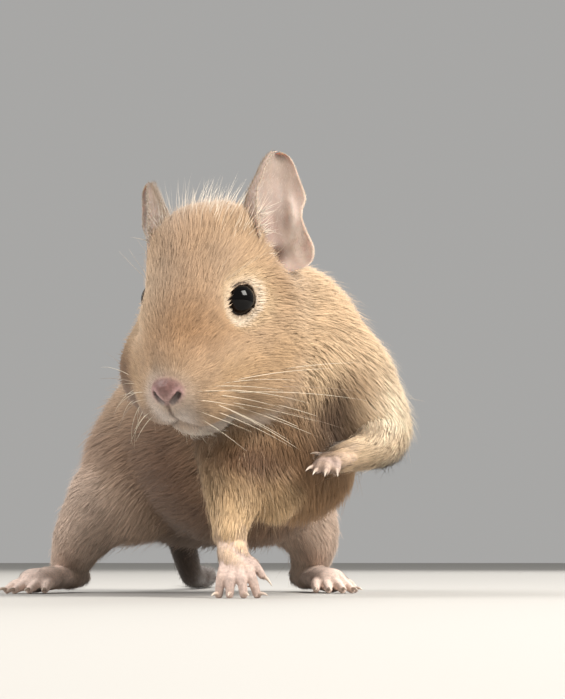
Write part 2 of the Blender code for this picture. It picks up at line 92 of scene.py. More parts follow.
def unit(v):
    v = np.asarray(v, float)
    return v / np.maximum(np.linalg.norm(v, axis=-1, keepdims=True), 1e-9)


def bump(distance, width):
    return np.exp(-(distance / width) ** 2)


def ramp(value, start, end):
    t = np.clip((value - start) / (end - start), 0.0, 1.0)
    return t * t * (3.0 - 2.0 * t)


def mixed(base, colour, amount):
    return base + (np.asarray(colour) - base) * amount[..., None]


# ------------------------------------------------------------------ distance shapes
def smooth_min(a, b, k):
    h = np.maximum(k - np.abs(a - b), 0.0) / k
    return np.minimum(a, b) - h * h * k * 0.25


def smooth_max(a, b, k):
    return -smooth_min(-a, -b, k)


def scaled_distance(radii_away, slope):
    """Distance to an ellipse from how many radii away a point is and how fast that number grows."""
    return radii_away * (radii_away - 1.0) / np.maximum(slope, 1e-6)


def curve_points(points, steps):
    """Catmull-Rom samples of rows of numbers along an open path."""
    points = np.asarray(points, float)
    spans = len(points) - 1
    made = []
    for i in range(steps * spans + 1):
        span = min(i // steps, spans - 1)
        u = i / steps - span
        a, b = points[max(span - 1, 0)], points[span]
        c, d = points[span + 1], points[min(span + 2, spans)]
        made.append(0.5 * (2 * b + (c - a) * u + (2 * a - 5 * b + 4 * c - d) * u * u
                           + (3 * b - a - 3 * c + d) * u ** 3))
    return np.array(made)


class Ball:
    """An ellipsoid of flesh under its coat; inset is the coat's depth and flow the way it lies."""

    def __init__(self, centre, radii, axes, inset, look, blend=3.0, flow=None):
        self.centre, self.axes = np.asarray(centre, float), axes
        self.radii = np.asarray(radii, float)
        self.inset, self.look, self.blend, self.flow = inset, look, blend, flow
        half = np.full(3, max(radii)) + REACH
        self.low, self.high = self.centre - half, self.centre + half

    def measure(self, points, share):
        radii = self.radii - self.inset * share
        local = (points - self.centre) @ self.axes
        return scaled_distance(np.linalg.norm(local / radii, axis=1),
                               np.linalg.norm(local / radii ** 2, axis=1))

    def lie(self, points):
        return np.broadcast_to(np.asarray(self.flow, float), points.shape)


class Limb:
    """A tapering tube along a curve, with its coat lying along it; flatness thins it on one axis."""

    def __init__(self, path, radii, inset, look, blend=3.0, flatness=1.0, across=None, steps=5):
        insets = np.broadcast_to(np.asarray(inset, float), (len(path),))
        rows = curve_points(np.column_stack((path, radii, insets)), steps)
        self.spots, self.radii, self.insets = rows[:, :3], rows[:, 3], rows[:, 4]
        self.look, self.blend, self.flatness = look, blend, flatness
        self.across = None if across is None else unit(across)
        pad = self.radii.max() + REACH
        self.low, self.high = self.spots.min(0) - pad, self.spots.max(0) + pad

    def nearest(self, points, share):
        best = np.full(len(points), FAR)
        lie = np.zeros((len(points), 3))
        sizes = self.radii - self.insets * share
        for a, b, ra, rb in zip(self.spots, self.spots[1:], sizes, sizes[1:]):
            span = b - a
            length = math.sqrt(span @ span)
            ahead = (points - a) @ span / length
            aside = np.sqrt(np.maximum(((points - a) ** 2).sum(1) - ahead ** 2, 0.0))
            slope = np.clip((rb - ra) / length, -0.9, 0.9)
            t = np.clip((ahead + slope * aside / math.sqrt(1.0 - slope * slope)) / length, 0.0, 1.0)
            off = points - a - t[:, None] * span
            size = ra + (rb - ra) * t
            if self.flatness < 1.0:
                along = unit(span)
                side = unit(self.across - along * (along @ self.across))
                lifted = off @ np.cross(along, side)
                rest = np.maximum((off * off).sum(1) - lifted ** 2, 0.0)
                flat = size * self.flatness
                away = scaled_distance(np.sqrt(rest / size ** 2 + (lifted / flat) ** 2),
                                       np.sqrt(rest / size ** 4 + (lifted / flat ** 2) ** 2))
            else:
                away = np.sqrt((off * off).sum(1)) - size
            closer = away < best
            best[closer] = away[closer]
            lie[closer] = unit(span)
        return best, lie

    def measure(self, points, share):
        return self.nearest(points, share)[0]

    def lie(self, points):
        return self.nearest(points, 1.0)[1]


class Look:
    """How the coat lies over one part: hair length and width in mm, tufts per square mm, colour."""

    def __init__(self, name, slot, length, width, density, colour):
        self.name, self.slot = name, slot
        self.row = np.array((length, width, density, *colour), float)


GOLD = (0.43, 0.285, 0.17)
BROWN_GOLD = (0.46, 0.315, 0.205)
# painted shade: the lower flanks and belly are painted darker
FLANK_PAINTED_SHADE = (0.20, 0.118, 0.072)
# painted shade: the top of the thigh is painted darker
THIGH_PAINTED_SHADE = (0.26, 0.17, 0.12)

HEAD_LOOK = Look("head", "golden_coat", 3.4, 0.16, 11.0, GOLD)
NECK_LOOK = Look("neck", "golden_coat", 5.6, 0.17, 8.0, (0.66, 0.465, 0.29))
TRUNK_LOOK = Look("trunk", "dusky_coat", 7.6, 0.20, 4.9, BROWN_GOLD)
# the chest is painted dark brown: its own warm tone deepened into painted shade under the head
CHEST_LOOK = Look("chest", "golden_coat", 6.4, 0.18, 6.2, (0.34, 0.19, 0.09))
BELLY_LOOK = Look("belly", "dusky_coat", 6.4, 0.20, 4.8, (0.38, 0.235, 0.145))
SHOULDER_LOOK = Look("shoulder", "golden_coat", 5.4, 0.17, 8.0, (0.74, 0.53, 0.33))
ARM_LOOK = Look("arm", "golden_coat", 4.2, 0.18, 8.5, (0.70, 0.48, 0.27))
THIGH_LOOK = Look("thigh", "dusky_coat", 6.8, 0.19, 5.2, (0.66, 0.48, 0.36))
SHIN_LOOK = Look("shin", "dusky_coat", 3.4, 0.19, 7.5, (0.58, 0.44, 0.35))
PAW_LOOK = Look("paw", "paw_skin", 0.9, 0.11, 12.0, (0.50, 0.38, 0.33))
FOOT_LOOK = Look("foot", "paw_skin", 1.0, 0.12, 11.0, (0.74, 0.58, 0.50))
# the tail base is painted near black: its own dark brown deepened into painted shade under the body
TAIL_LOOK = Look("tail", "dusky_coat", 3.4, 0.18, 9.0, (0.052, 0.032, 0.021))
BRUSH_LOOK = Look("brush", "tail_coat", 6.5, 0.17, 13.0, (0.058, 0.037, 0.026))
LOOKS = (HEAD_LOOK, NECK_LOOK, TRUNK_LOOK, CHEST_LOOK, BELLY_LOOK, SHOULDER_LOOK, ARM_LOOK, THIGH_LOOK,
         SHIN_LOOK, PAW_LOOK, FOOT_LOOK, TAIL_LOOK, BRUSH_LOOK)

# ------------------------------------------------------------------ paws, feet and the parts of the body
FINGER_RADII = (1.25, 1.2, 0.95)
TOE_RADII = (1.5, 1.45, 1.05)
PALM_RADII = (3.1, 3.4, 3.3)
FINGER_BOW = np.array((0.0, -0.16, 0.10))
TOE_COUNT = 5
TOE_SPREAD = math.radians(17.0)
TOE_SPACING = 1.75
TOE_LENGTHS = (5.0, 8.2, 9.4, 8.4, 5.6)
TOE_HEIGHTS = (2.4, 2.1, 0.95)
TOE_SETBACK = 0.6


def finger_paths(knuckles, ends):
    paths = []
    for start, stop in zip(np.array(knuckles, float), np.array(ends, float)):
        bow = FINGER_BOW * np.linalg.norm(stop - start)
        paths.append((start, (start + stop) * 0.5 + bow, stop))
    return paths


def toe_paths(foot_path):
    """Five toes that fan out from the end of a foot, flat on the floor."""
    ball = np.array(foot_path[-1], float)
    along = ball - np.array(foot_path[-2], float)
    along[2] = 0.0
    along = unit(along)
    out = np.array((along[1], -along[0], 0.0))
    paths = []
    for i, length in enumerate(TOE_LENGTHS):
        offset = i - (TOE_COUNT - 1) / 2.0
        heading = turn_matrix(-TOE_SPREAD * offset / 2.0, "Z") @ along
        root = ball + out * offset * TOE_SPACING - along * TOE_SETBACK * abs(offset)
        end = root + heading * length
        middle = (root + end) * 0.5
        for spot, height in zip((root, middle, end), TOE_HEIGHTS):
            spot[2] = height
        paths.append((root, middle, end))
    return paths


LEFT_FINGERS = finger_paths(
    ((11.8, 0.2, 29.8), (10, -0.6, 29.2), (9.4, -2, 29.1), (10, -3.2, 29), (11.4, -3.2, 29.2)),
    ((9, 1.2, 30.6), (6.9, -4.4, 28), (7.6, -6.3, 27.4), (9.4, -7.3, 27.2), (11.6, -6.7, 27.4)))
RIGHT_FINGERS = finger_paths(
    ((-7.9, -4.6, 8.4), (-7.8, -6, 6.8), (-9.3, -6.4, 6.2), (-11, -6.3, 6.3), (-12.4, -5.6, 6.8)),
    ((-4.4, -6, 4.9), (-5.4, -8.2, 0.75), (-8.2, -9.2, 0.75), (-11.2, -9, 0.75), (-13.6, -8, 0.75)))
RIGHT_FOOT_PATH = ((-52.6, 76, 4.2), (-56.5, 66, 3.7), (-60.5, 56.5, 3.1))
LEFT_FOOT_PATH = ((5.6, 85.5, 4.2), (9, 74.5, 3.7), (12, 64, 3.1))
LEFT_TOES, RIGHT_TOES = toe_paths(LEFT_FOOT_PATH), toe_paths(RIGHT_FOOT_PATH)


def head_ball(centre, radii, inset, blend=3.0):
    return Ball(on_head(*centre), radii, HEAD, inset, HEAD_LOOK, blend)


def head_pair(centre, radii, inset, blend):
    return [head_ball((sign * centre[0], *centre[1:]), radii, inset, blend) for sign in (-1.0, 1.0)]


def head_limb(path, radii, inset, blend, steps=5):
    return Limb([on_head(0, *spot) for spot in path], radii, inset, HEAD_LOOK, blend, steps=steps)


def paw_parts(palm, across, fingers):
    return ([Limb(palm, PALM_RADII, 0.15, PAW_LOOK, 1.0, 0.62, across)]
            + [Limb(path, FINGER_RADII, 0.1, PAW_LOOK, 0.7, steps=3) for path in fingers])


def foot_parts(path, toes):
    return ([Limb(path, (3.9, 3.9, 4.1), 0.3, FOOT_LOOK, 1.0, 0.78, (1, 0, 0))]
            + [Limb(toe, TOE_RADII, 0.15, FOOT_LOOK, 0.8, steps=3) for toe in toes])


def leg_parts(thigh, shin):
    return [Ball(thigh, (14, 20, 18), TRUNK, 3.6, THIGH_LOOK, 5.0, unit((-0.35, 0.55, -0.6))),
            Limb(shin, (11, 7.4, 4.9), (2.6, 1.4, 0.7), SHIN_LOOK, 4.0)]


HEAD_PARTS = [
    head_ball((0, -8, 1.4), (13.4, 16.5, 15.2), 1.5),
    head_ball((0, 1.6, -2.4), (11.6, 11.4, 9.8), 1.2, 5.0),
    *head_pair((4.2, -14.2, 2.8), (9.0, 9.0, 11.0), 1.8, 5.0),
    head_limb(((3, -7.2), (11.3, -11.1), (15.8, -14.6)), (10.8, 8.4, 6.5), (1.3, 0.8, 0.5), 5.0, 12),
    *head_pair((8.3, -11, -8.5), (9.3, 11, 10.8), 1.8, 5.0),
    *head_pair((10.8, -1, -17.6), (9.8, 13, 11.6), 1.8, 7.0),
    *head_pair((6.6, 8.0, -15.5), (6.6, 8.0, 7.4), 1.2, 5.0),
    *head_pair((4.4, 13.2, -17.6), (5.8, 6.4, 6.2), 0.6, 3.0),
    head_limb(((12.2, -22), (4.4, -21.6), (-7, -17.6)), (4.2, 8.2, 10), (0.6, 1.5, 2.2), 3.0),
]
BODY_PARTS = [
    Limb(((-12, 11, 61), (-1, 18.5, 60.5), (0.5, 23, 56)), (14.5, 17.2, 19.8), (3.2, 3.8, 4.0),
         NECK_LOOK, 6.0),
    Limb(((0.5, 25, 49), (-5.5, 41, 43.5), (-14.5, 61, 39.5), (-22, 78, 36.5)),
         (21.8, 25.2, 27.6, 26.6), 4.2, TRUNK_LOOK, 6.0),
    Limb(((-1, 30, 52.5), (-4.2, 41, 47.5)), (19.2, 21.8), 4.1, TRUNK_LOOK, 6.0),
    Ball((2, 18, 36), (18.5, 17, 21), TRUNK, 4.0, CHEST_LOOK, 6.0, unit((-0.1, 0.55, -0.8))),
    Ball((-9, 48, 34), (23, 30, 24.5), TRUNK, 4.2, BELLY_LOOK, 6.0, unit((-0.34, 0.94, 0.0))),
]
LEFT_ARM = [Limb(((12.5, 18, 47.5), (21, 15.5, 38), (20.6, 7.6, 33.5), (14.6, 2.8, 30.8)),
                 (14.8, 8.2, 5.2, 3.5), (3.8, 1.9, 1.0, 0.5), SHOULDER_LOOK, 5.0)]
RIGHT_ARM = [
    Limb(((-9, 13, 34), (-10.3, 4.5, 24), (-11.3, -1.6, 15)), (11.5, 7.4, 4.0), (2.6, 1.4, 0.7),
         ARM_LOOK, 4.0),
    Ball((-2.5, 7, 24.5), (7.5, 7, 9), TRUNK, 2.6, ARM_LOOK, 3.0, unit((0.3, 0.5, -0.8))),
]
TAIL_PARTS = [
    Limb(((-27, 97, 29), (-27.5, 109, 16.5), (-25.5, 121, 5.4), (-24, 138, 3)), (7.8, 4.8, 3.6, 3.1),
         (2.2, 1.5, 1.1, 0.9), TAIL_LOOK, 2.0),
    Limb(((-24, 138, 3), (-22.5, 155, 2.7), (-22.5, 171, 2.8), (-24.5, 184, 3), (-27.5, 194, 2)),
         (3.1, 2.8, 2.9, 3.5, 1.5), (0.9, 0.9, 1.2, 1.9, 0.9), BRUSH_LOOK, 2.0),
]
# each group of parts and how softly it joins the rest
GROUPS = [
    (BODY_PARTS, 6.0), (HEAD_PARTS, 7.0), (LEFT_ARM, 5.0), (RIGHT_ARM, 4.0),
    (leg_parts((-37, 69, 29), ((-43.5, 65, 22.5), (-50, 67.5, 14), (-53.6, 73.5, 6.8))), 5.0),
    (leg_parts((-4, 80.5, 29), ((3, 74, 22.5), (7.2, 77, 14), (7, 82.5, 6.8))), 5.0),
    (TAIL_PARTS, 5.0),
    (paw_parts(((14.6, 2.8, 30.8), (12, -0.2, 29.8), (10.4, -1.8, 29)), (0.55, -0.85, 0), LEFT_FINGERS), 1.6),
    (paw_parts(((-11.3, -2, 14.5), (-10.6, -4.6, 9.6), (-9.9, -6, 6.6)), (1, 0, 0), RIGHT_FINGERS), 1.6),
    (foot_parts(RIGHT_FOOT_PATH, RIGHT_TOES), 2.0), (foot_parts(LEFT_FOOT_PATH, LEFT_TOES), 2.0),
]
PARTS = [part for group, _ in GROUPS for part in group]


def inside_box(points, low, high):
    return np.flatnonzero(((points > low) & (points < high)).all(1))


def body_distance(points, share=1.0):
    """Signed distance to the body: share 0 gives the coat's outline, share 1 the skin under it."""
    total = np.full(len(points), FAR)
    for group, join in GROUPS:
        low = np.min([part.low for part in group], axis=0)
        high = np.max([part.high for part in group], axis=0)
        held = inside_box(points, low, high)
        if not len(held):
            continue
        spots = points[held]
        merged = np.full(len(held), FAR)
        for part in group:
            near = inside_box(spots, part.low, part.high)
            if len(near):
                merged[near] = smooth_min(merged[near], part.measure(spots[near], share), part.blend)
        total[held] = smooth_min(total[held], merged, join)
    return total


# ------------------------------------------------------------------ eyes, nose, mouth and ears on the skin
LOOK_OUT = {side: unit(head_way(sign * 0.82, 0.49, 0.33)) for side, sign in SIDES.items()}
EYE_FRONT = unit(head_way(0.0, 1.0, -0.32))
LID_WIDE, LID_TALL = math.radians(62.0), math.radians(53.0)
LID_CORNER, LID_LOBES = math.radians(7.0), math.radians(2.4)
LID_FLARE = 0.05
LID_RADIUS = 0.34
SEAT_WIDE, SEAT_LEVEL = 6.5, 2.45
SEAT_SHARE = {"left": 1.0, "right": 0.6}


def eye_angles(points, side):
    """Distance from the eye's centre, angle off its axis, the lid's angle and the turn round it."""
    axis = LOOK_OUT[side]
    front = unit(EYE_FRONT - axis * (EYE_FRONT @ axis))
    over = np.cross(axis, front)
    over = over * np.sign(over @ HEAD[:, 2])
    off = points - EYES[side]
    away = np.maximum(np.linalg.norm(off, axis=1), 1e-6)
    off_axis = np.arccos(np.clip(off @ axis / away, -1.0, 1.0))
    turn = np.arctan2(off @ over, off @ front)
    lid = (LID_TALL + (LID_WIDE - LID_TALL) * np.cos(turn) ** 2
           + LID_CORNER * np.clip(np.cos(turn), 0.0, 1.0) ** 3 - LID_LOBES * np.sin(3.0 * turn))
    return away, off_axis, lid, turn


NOSE_AT = (0.0, 19.4, -13.1)
NOSE_PAD = head_ball(NOSE_AT, (3.5, 2.6, 2.9), 0.0)
NOSE_BARE = head_ball(NOSE_AT, (4.0, 3.1, 3.4), 0.0)
NOSE_TIP = (0.0, 21.0, -14.0)
NOSTRIL = ((1.2, 21.7, -14.9), (1.9, 21.4, -14.1), (2.5, 20.7, -13.2))
PHILTRUM = ((0.0, 21.6, -15.2), (0.0, 20.4, -17.8), (0.0, 18.0, -20.8))
MOUTH = ((0.0, 17.6, -20.9), (2.4, 16.2, -21.9), (4.4, 13.8, -23.4), (6.6, 11.0, -24.6), (7.8, 8.2, -24.7))


def chain(path, sign=1.0):
    return curve_points([on_head(sign * left, forward, up) for left, forward, up in path], 4)


def chain_distance(points, chains):
    """Distance to the nearest of some lines of spots."""
    best = np.full(len(points), FAR)
    for spots in chains:
        for a, b in zip(spots, spots[1:]):
            span = b - a
            t = np.clip((points - a) @ span / (span @ span), 0.0, 1.0)
            best = np.minimum(best, np.linalg.norm(points - a - t[:, None] * span, axis=1))
    return best


def gradient(points, distance, step=0.12):
    corners = np.array(((1, -1, -1), (-1, -1, 1), (-1, 1, -1), (1, 1, 1)), float)
    total = np.zeros_like(points)
    for corner in corners:
        total += corner * distance(points + corner * step)[:, None]
    return total / (4.0 * step)


def settle(points, distance, rounds=2, limit=0.3):
    """Moves points onto the surface where the distance is zero."""
    for _ in range(rounds):
        slope = gradient(points, distance)
        move = distance(points)[:, None] * slope / np.maximum((slope * slope).sum(1, keepdims=True), 0.2)
        size = np.linalg.norm(move, axis=1, keepdims=True)
        points = points - move * np.minimum(1.0, limit / np.maximum(size, 1e-9))
    return points


NOSTRILS = [chain(NOSTRIL), chain(NOSTRIL, -1.0)]
LIP_CLEFT = [chain(PHILTRUM)]
MOUTH_LINES = [settle(chain(MOUTH, sign), body_distance, 5, 1.0) for sign in SIDES.values()]
# lines cut into the skin, with their radius and how softly their edges round off
GROOVES = [(line, radius, soft) for lines, radius, soft in
           ((NOSTRILS, 0.62, 0.5), (LIP_CLEFT, 0.35, 0.7), (MOUTH_LINES, 0.42, 0.8)) for line in lines]

# base, tip and facing of each ear
EARS = {"left": ((0.6, 1.5, 71.2), (-1.4, 4.5, 99.0), (0.5, -0.86, -0.05)),
        "right": ((-27.5, 11.0, 70.0), (-30.8, 12.0, 93.0), (-0.93, -0.36, 0.0))}
HOLLOW_AT = (-2.2, 7.2, 3.4)
HOLLOW_RADII = (6.4, 6.4, 6.5)


def ear_axes(side):
    """Base of an ear, its height, and the ways that run across, up and out of it."""
    base, tip, facing = (np.array(row, float) for row in EARS[side])
    span = tip - base
    length = np.linalg.norm(span)
    rise = span / length
    out = unit(facing - rise * (facing @ rise))
    return base, length, np.cross(rise, out) * SIDES[side], rise, out


def ear_hollow(side):
    """The open space in front of an ear's cup, kept clear of the head."""
    base, _, wide, rise, out = ear_axes(side)
    centre = base + wide * HOLLOW_AT[0] + rise * HOLLOW_AT[1] + out * HOLLOW_AT[2]
    return Ball(centre, HOLLOW_RADII, np.column_stack((wide, rise, out)), 0.0, HEAD_LOOK)


HOLLOWS = [ear_hollow(side) for side in EARS]
FACE_REACH = 34.0
NOSE_BLEND, HOLLOW_BLEND, LID_BLEND, RIM_BLEND = 0.9, 1.5, 1.2, 0.7
EYE_GAP, RIM_GAP = 0.04, 0.25
SEAT_DEEP, LID_DEEP = 8.0, 6.0


def skin_distance(points):
    """The body with its nose pad, ear hollows, eye seats, lids, nostrils and mouth, above the floor."""
    total = body_distance(points)
    face = inside_box(points, HEAD_AT - FACE_REACH, HEAD_AT + FACE_REACH)
    if len(face):
        spots = points[face]
        value = smooth_min(total[face], NOSE_PAD.measure(spots, 0.0), NOSE_BLEND)
        for hollow in HOLLOWS:
            value = smooth_max(value, -hollow.measure(spots, 0.0), HOLLOW_BLEND)
        for side in SIDES:
            away, off_axis, lid, _ = eye_angles(spots, side)
            beside = away * np.sin(off_axis)
            plane = away * np.cos(off_axis) - SEAT_LEVEL
            share = np.exp(-(beside / SEAT_WIDE) ** 2) * (np.abs(plane) < SEAT_DEEP) * SEAT_SHARE[side]
            value = value + (plane - value) * share
            opening = away * (lid + LID_FLARE * np.clip(away - EYE_RADIUS - 0.3, 0.0, 3.0) - off_axis)
            near = away < EYE_RADIUS + LID_DEEP
            value[near] = smooth_max(value[near], opening[near], LID_BLEND)
            rim = np.hypot(away - EYE_RADIUS - RIM_GAP, away * (off_axis - lid)) - LID_RADIUS
            value = smooth_min(value, rim, RIM_BLEND)
            value = np.maximum(value, EYE_RADIUS + EYE_GAP - away)
        for line, radius, soft in GROOVES:
            value = smooth_max(value, radius - chain_distance(spots, [line]), soft)
        total[face] = value
    return np.maximum(total, -points[:, 2])


# ------------------------------------------------------------------ skin mesh
SKIN_GRID = (((-70, -41, 18, 36), (0.9, 0.54, 0.9)),
             ((-32, 8, 52, 92, 200), (0.52, 1.0, 0.86, 0.95)),
             ((-2, 34, 78, 90), (0.56, 0.515, 0.7)))
GRID_BLOCK = 4
GRID_BATCH = 200000


def spaced(bounds, steps):
    """Grid lines whose spacing changes from stretch to stretch."""
    lines = []
    for a, b, step in zip(bounds, bounds[1:], steps):
        count = max(int(round((b - a) / step)), 1)
        lines += [a + (b - a) * i / count for i in range(count)]
    return np.array(lines + [bounds[-1]])


def sampled(lines, distance):
    """Values of a distance on a grid, worked out only near the surface."""
    block = GRID_BLOCK
    counts = [((len(line) - 1) // block + 1) * block + 1 for line in lines]
    full = [np.concatenate((line, line[-1] + np.arange(1, count - len(line) + 1) * (line[-1] - line[-2])))
            for line, count in zip(lines, counts)]
    middles = [(line[0:-1:block] + line[block::block]) * 0.5 for line in full]
    halves = [(line[block::block] - line[0:-1:block]) * 0.5 for line in full]
    centre, half = (np.stack(np.meshgrid(*each, indexing="ij"), -1).reshape(-1, 3)
                    for each in (middles, halves))
    value = distance(centre)
    busy = np.abs(value) < np.linalg.norm(half, axis=1) + 1.0
    shape = [len(m) for m in middles]
    grid = np.where(value < 0, -FAR, FAR).reshape(shape)
    for axis in range(3):
        grid = np.repeat(grid, block, axis=axis)
    grid = np.pad(grid, ((0, 1), (0, 1), (0, 1)), mode="edge").astype(np.float32)
    marks = np.zeros(grid.shape, bool)
    for i, j, k in np.argwhere(busy.reshape(shape)) * block:
        marks[i:i + block + 1, j:j + block + 1, k:k + block + 1] = True
    points = grid_points(full, np.argwhere(marks))
    grid[marks] = np.concatenate([distance(points[start:start + GRID_BATCH]).astype(np.float32)
                                  for start in range(0, len(points), GRID_BATCH)])
    return full, grid


def grid_points(lines, spots):
    return np.column_stack([lines[axis][spots[:, axis]] for axis in range(3)])


def surface_nets(lines, grid):
    """One vertex in each cell that the surface crosses and one quad over each crossed edge."""
    inside = grid < 0
    count = sum(inside[a:a - 1 or None, b:b - 1 or None, c:c - 1 or None].astype(np.uint8)
                for a, b, c in np.ndindex(2, 2, 2))
    cells = np.argwhere((count > 0) & (count < 8))
    number = np.full(count.shape, -1, np.int64)
    number[tuple(cells.T)] = np.arange(len(cells))
    total, hits = np.zeros((len(cells), 3)), np.zeros(len(cells))
    for corner in np.ndindex(2, 2, 2):
        for axis in np.flatnonzero(np.array(corner) == 0):
            first = cells + np.array(corner)
            second = first.copy()
            second[:, axis] += 1
            va, vb = grid[tuple(first.T)].astype(float), grid[tuple(second.T)].astype(float)
            crossed = (va < 0) != (vb < 0)
            t = np.where(crossed, va / np.where(crossed, va - vb, 1.0), 0.0)
            pa, pb = grid_points(lines, first), grid_points(lines, second)
            total += np.where(crossed[:, None], pa + (pb - pa) * t[:, None], 0.0)
            hits += crossed
    quads = []
    for axis in range(3):
        u, v = (axis + 1) % 3, (axis + 2) % 3
        ahead = np.moveaxis(inside, axis, 0)
        edges = np.argwhere(np.moveaxis(ahead[1:] != ahead[:-1], 0, axis))
        edges = edges[(edges[:, u] > 0) & (edges[:, v] > 0)
                      & (edges[:, u] < grid.shape[u] - 1) & (edges[:, v] < grid.shape[v] - 1)]
        ring = []
        for du, dv in ((-1, -1), (0, -1), (0, 0), (-1, 0)):
            cell = edges.copy()
            cell[:, u] += du
            cell[:, v] += dv
            ring.append(number[tuple(cell.T)])
        ring = np.column_stack(ring)
        outward = ~inside[tuple(edges.T)]
        ring[outward] = ring[outward][:, ::-1]
        quads.append(ring)
    return total / hits[:, None], np.concatenate(quads)


def make_mesh(name, points, faces):
    """A smooth mesh object from points in millimetres and an array of same-sized faces."""
    mesh = bpy.data.meshes.new(name)
    mesh.vertices.add(len(points))
    mesh.vertices.foreach_set("co", to_metres(points).astype(np.float32).ravel())
    mesh.loops.add(faces.size)
    mesh.loops.foreach_set("vertex_index", faces.astype(np.int32).ravel())
    mesh.polygons.add(len(faces))
    mesh.polygons.foreach_set("loop_start", np.arange(0, faces.size, faces.shape[1], dtype=np.int32))
    mesh.polygons.foreach_set("use_smooth", np.full(len(faces), True))
    mesh.update(calc_edges=True)
    mesh.validate()
    return add_object(name, mesh)


def add_object(name, data):
    item = bpy.data.objects.new(name, data)
    bpy.context.collection.objects.link(item)
    return item


def paint(item, colours, dry=1.0):
    """Linear colours, one per vertex, and how dry each place is as their alpha."""
    layer = item.data.color_attributes.new("Coat", "FLOAT_COLOR", "POINT")
    rows = np.ones((len(colours), 4), np.float32)
    rows[:, :3] = colours
    rows[:, 3] = dry
    layer.data.foreach_set("color", rows.ravel())


# ------------------------------------------------------------------ markings and painted light and shade shared by skin and coat
# painted light and shade on the body: painted shadow under the chin, on the chest, beside the right arm and
# between the cheek and the left shoulder, and painted light on the jowl and the left shoulder; middle,
# half-widths, colour and amount
PAINTED_LIGHT_AND_SHADE = (((-6.0, 2.0, 31.5), (14.0, 10.0, 7.5), (0.11, 0.046, 0.021), 0.9),
          ((8.0, 4.5, 33.0), (8.0, 10.0, 12.0), (0.17, 0.095, 0.05), 0.6),
          ((-24.0, 33.0, 32.0), (11.0, 14.0, 16.0), (0.11, 0.052, 0.026), 0.75),
          ((8.5, 4.0, 48.5), (7.0, 8.0, 8.0), (0.90, 0.66, 0.42), 0.7),
          ((22.5, 12.0, 41.0), (6.5, 12.0, 12.0), (0.95, 0.79, 0.60), 0.7),
          ((10.0, 5.0, 41.5), (6.0, 8.0, 6.0), (0.16, 0.09, 0.055), 0.7),
          ((11.3, 4.8, 44.6), (3.4, 8.0, 4.6), (0.06, 0.032, 0.02), 0.85),
          ((10.5, 5.4, 37.5), (3.4, 8.0, 5.0), (0.10, 0.068, 0.05), 0.8),
          ((15.0, 5.0, 49.0), (3.6, 7.0, 4.5), (0.28, 0.175, 0.10), 0.7),
          ((-18.0, 9.0, 37.0), (8.0, 13.0, 8.0), (0.13, 0.06, 0.03), 0.75))
NAPE_WAY = unit((0.70, 0.62, -0.42))
# how far one part's look runs into the next, in mm
SOFTNESS = {"paw": 1.2, "foot": 1.2, "tail": 1.3, "brush": 1.3}
BODY_SOFTNESS = 2.4


def wander(points, size, seed):
    """A smooth field of vectors that turns slowly from place to place."""
    rng = np.random.default_rng(seed)
    total = np.zeros((len(points), 3))
    for _ in range(5):
        wave = unit(rng.normal(size=3)) * 2.0 * math.pi / (size * rng.uniform(0.6, 1.6))
        total += rng.normal(size=3)[None] * np.sin(points @ wave + rng.uniform(0, 6.28))[:, None]
    return total / math.sqrt(5.0)


def nose_distance(points):
    left, forward, up = in_head(points)
    return np.sqrt(left ** 2 + (forward - NOSE_TIP[1]) ** 2 + (up - NOSE_TIP[2]) ** 2)


def face_ways(points):
    """The coat of the head runs back from the nose, up over the cheeks and down the nape."""
    left, forward, up = in_head(points)
    from_nose = points - on_head(*NOSE_TIP)
    radial = unit(unit(from_nose) + 0.35 * unit(head_way(0.0, -1.0, -0.1)))
    cheek = ramp(np.abs(left), 5.0, 12.0) * ramp(-forward, -12.0, 0.0) * ramp(-up, -9.0, 1.0)
    radial = unit(radial - 0.8 * cheek[:, None] * HEAD[:, 2])
    behind = ramp(np.linalg.norm(from_nose, axis=1), 42.0, 58.0)[:, None]
    return unit(radial * (1.0 - behind) + NAPE_WAY * behind * 1.2)


def look_rows(look, spots):
    """The numbers of one look at each spot, its colour changing along the back, and darker down the sides and
    belly and on top of the thighs as painted shade.
    """
    rows = np.repeat(look.row[None], len(spots), 0)
    colour = rows[:, 3:]
    if look in (TRUNK_LOOK, NECK_LOOK):
        neck = np.repeat(NECK_LOOK.row[None, 3:], len(spots), 0)
        colour = mixed(neck, BROWN_GOLD, ramp(spots[:, 1], 12.0, 46.0))
    # painted shade: darker low on the flanks and belly
    if look in (TRUNK_LOOK, BELLY_LOOK):
        colour = mixed(colour, FLANK_PAINTED_SHADE, ramp(-spots[:, 2], -54.0, -34.0) * 0.85)
    # painted shade: darker high on the thigh
    elif look is THIGH_LOOK:
        colour = mixed(colour, THIGH_PAINTED_SHADE, ramp(spots[:, 2], 22.0, 36.0) * 0.7)
    rows[:, 3:] = colour
    return rows


def look_at(points):
    """Blend of the looks of the parts near each point, and the way the coat lies there."""
    weight = np.zeros(len(points))
    rows = np.zeros((len(points), 6))
    lie = np.zeros((len(points), 3))
    shares = np.zeros((len(points), len(LOOKS)))
    radial = face_ways(points)
    for part in PARTS:
        near = inside_box(points, part.low, part.high)
        if not len(near):
            continue
        spots = points[near]
        away = part.measure(spots, 1.0)
        if part.look in (PAW_LOOK, FOOT_LOOK):
            away = away + 0.9 + 1.1 * wander(spots, 3.5, 8)[:, 0]
        share = np.exp(-np.clip(away, -4.0, 30.0) / SOFTNESS.get(part.look.name, BODY_SOFTNESS))
        way = radial[near] if part.look is HEAD_LOOK else part.lie(spots)
        weight[near] += share
        rows[near] += share[:, None] * look_rows(part.look, spots)
        shares[near, LOOKS.index(part.look)] += share
        lie[near] += share[:, None] * way
    return rows / np.maximum(weight, 1e-12)[:, None], unit(lie), shares.argmax(1)


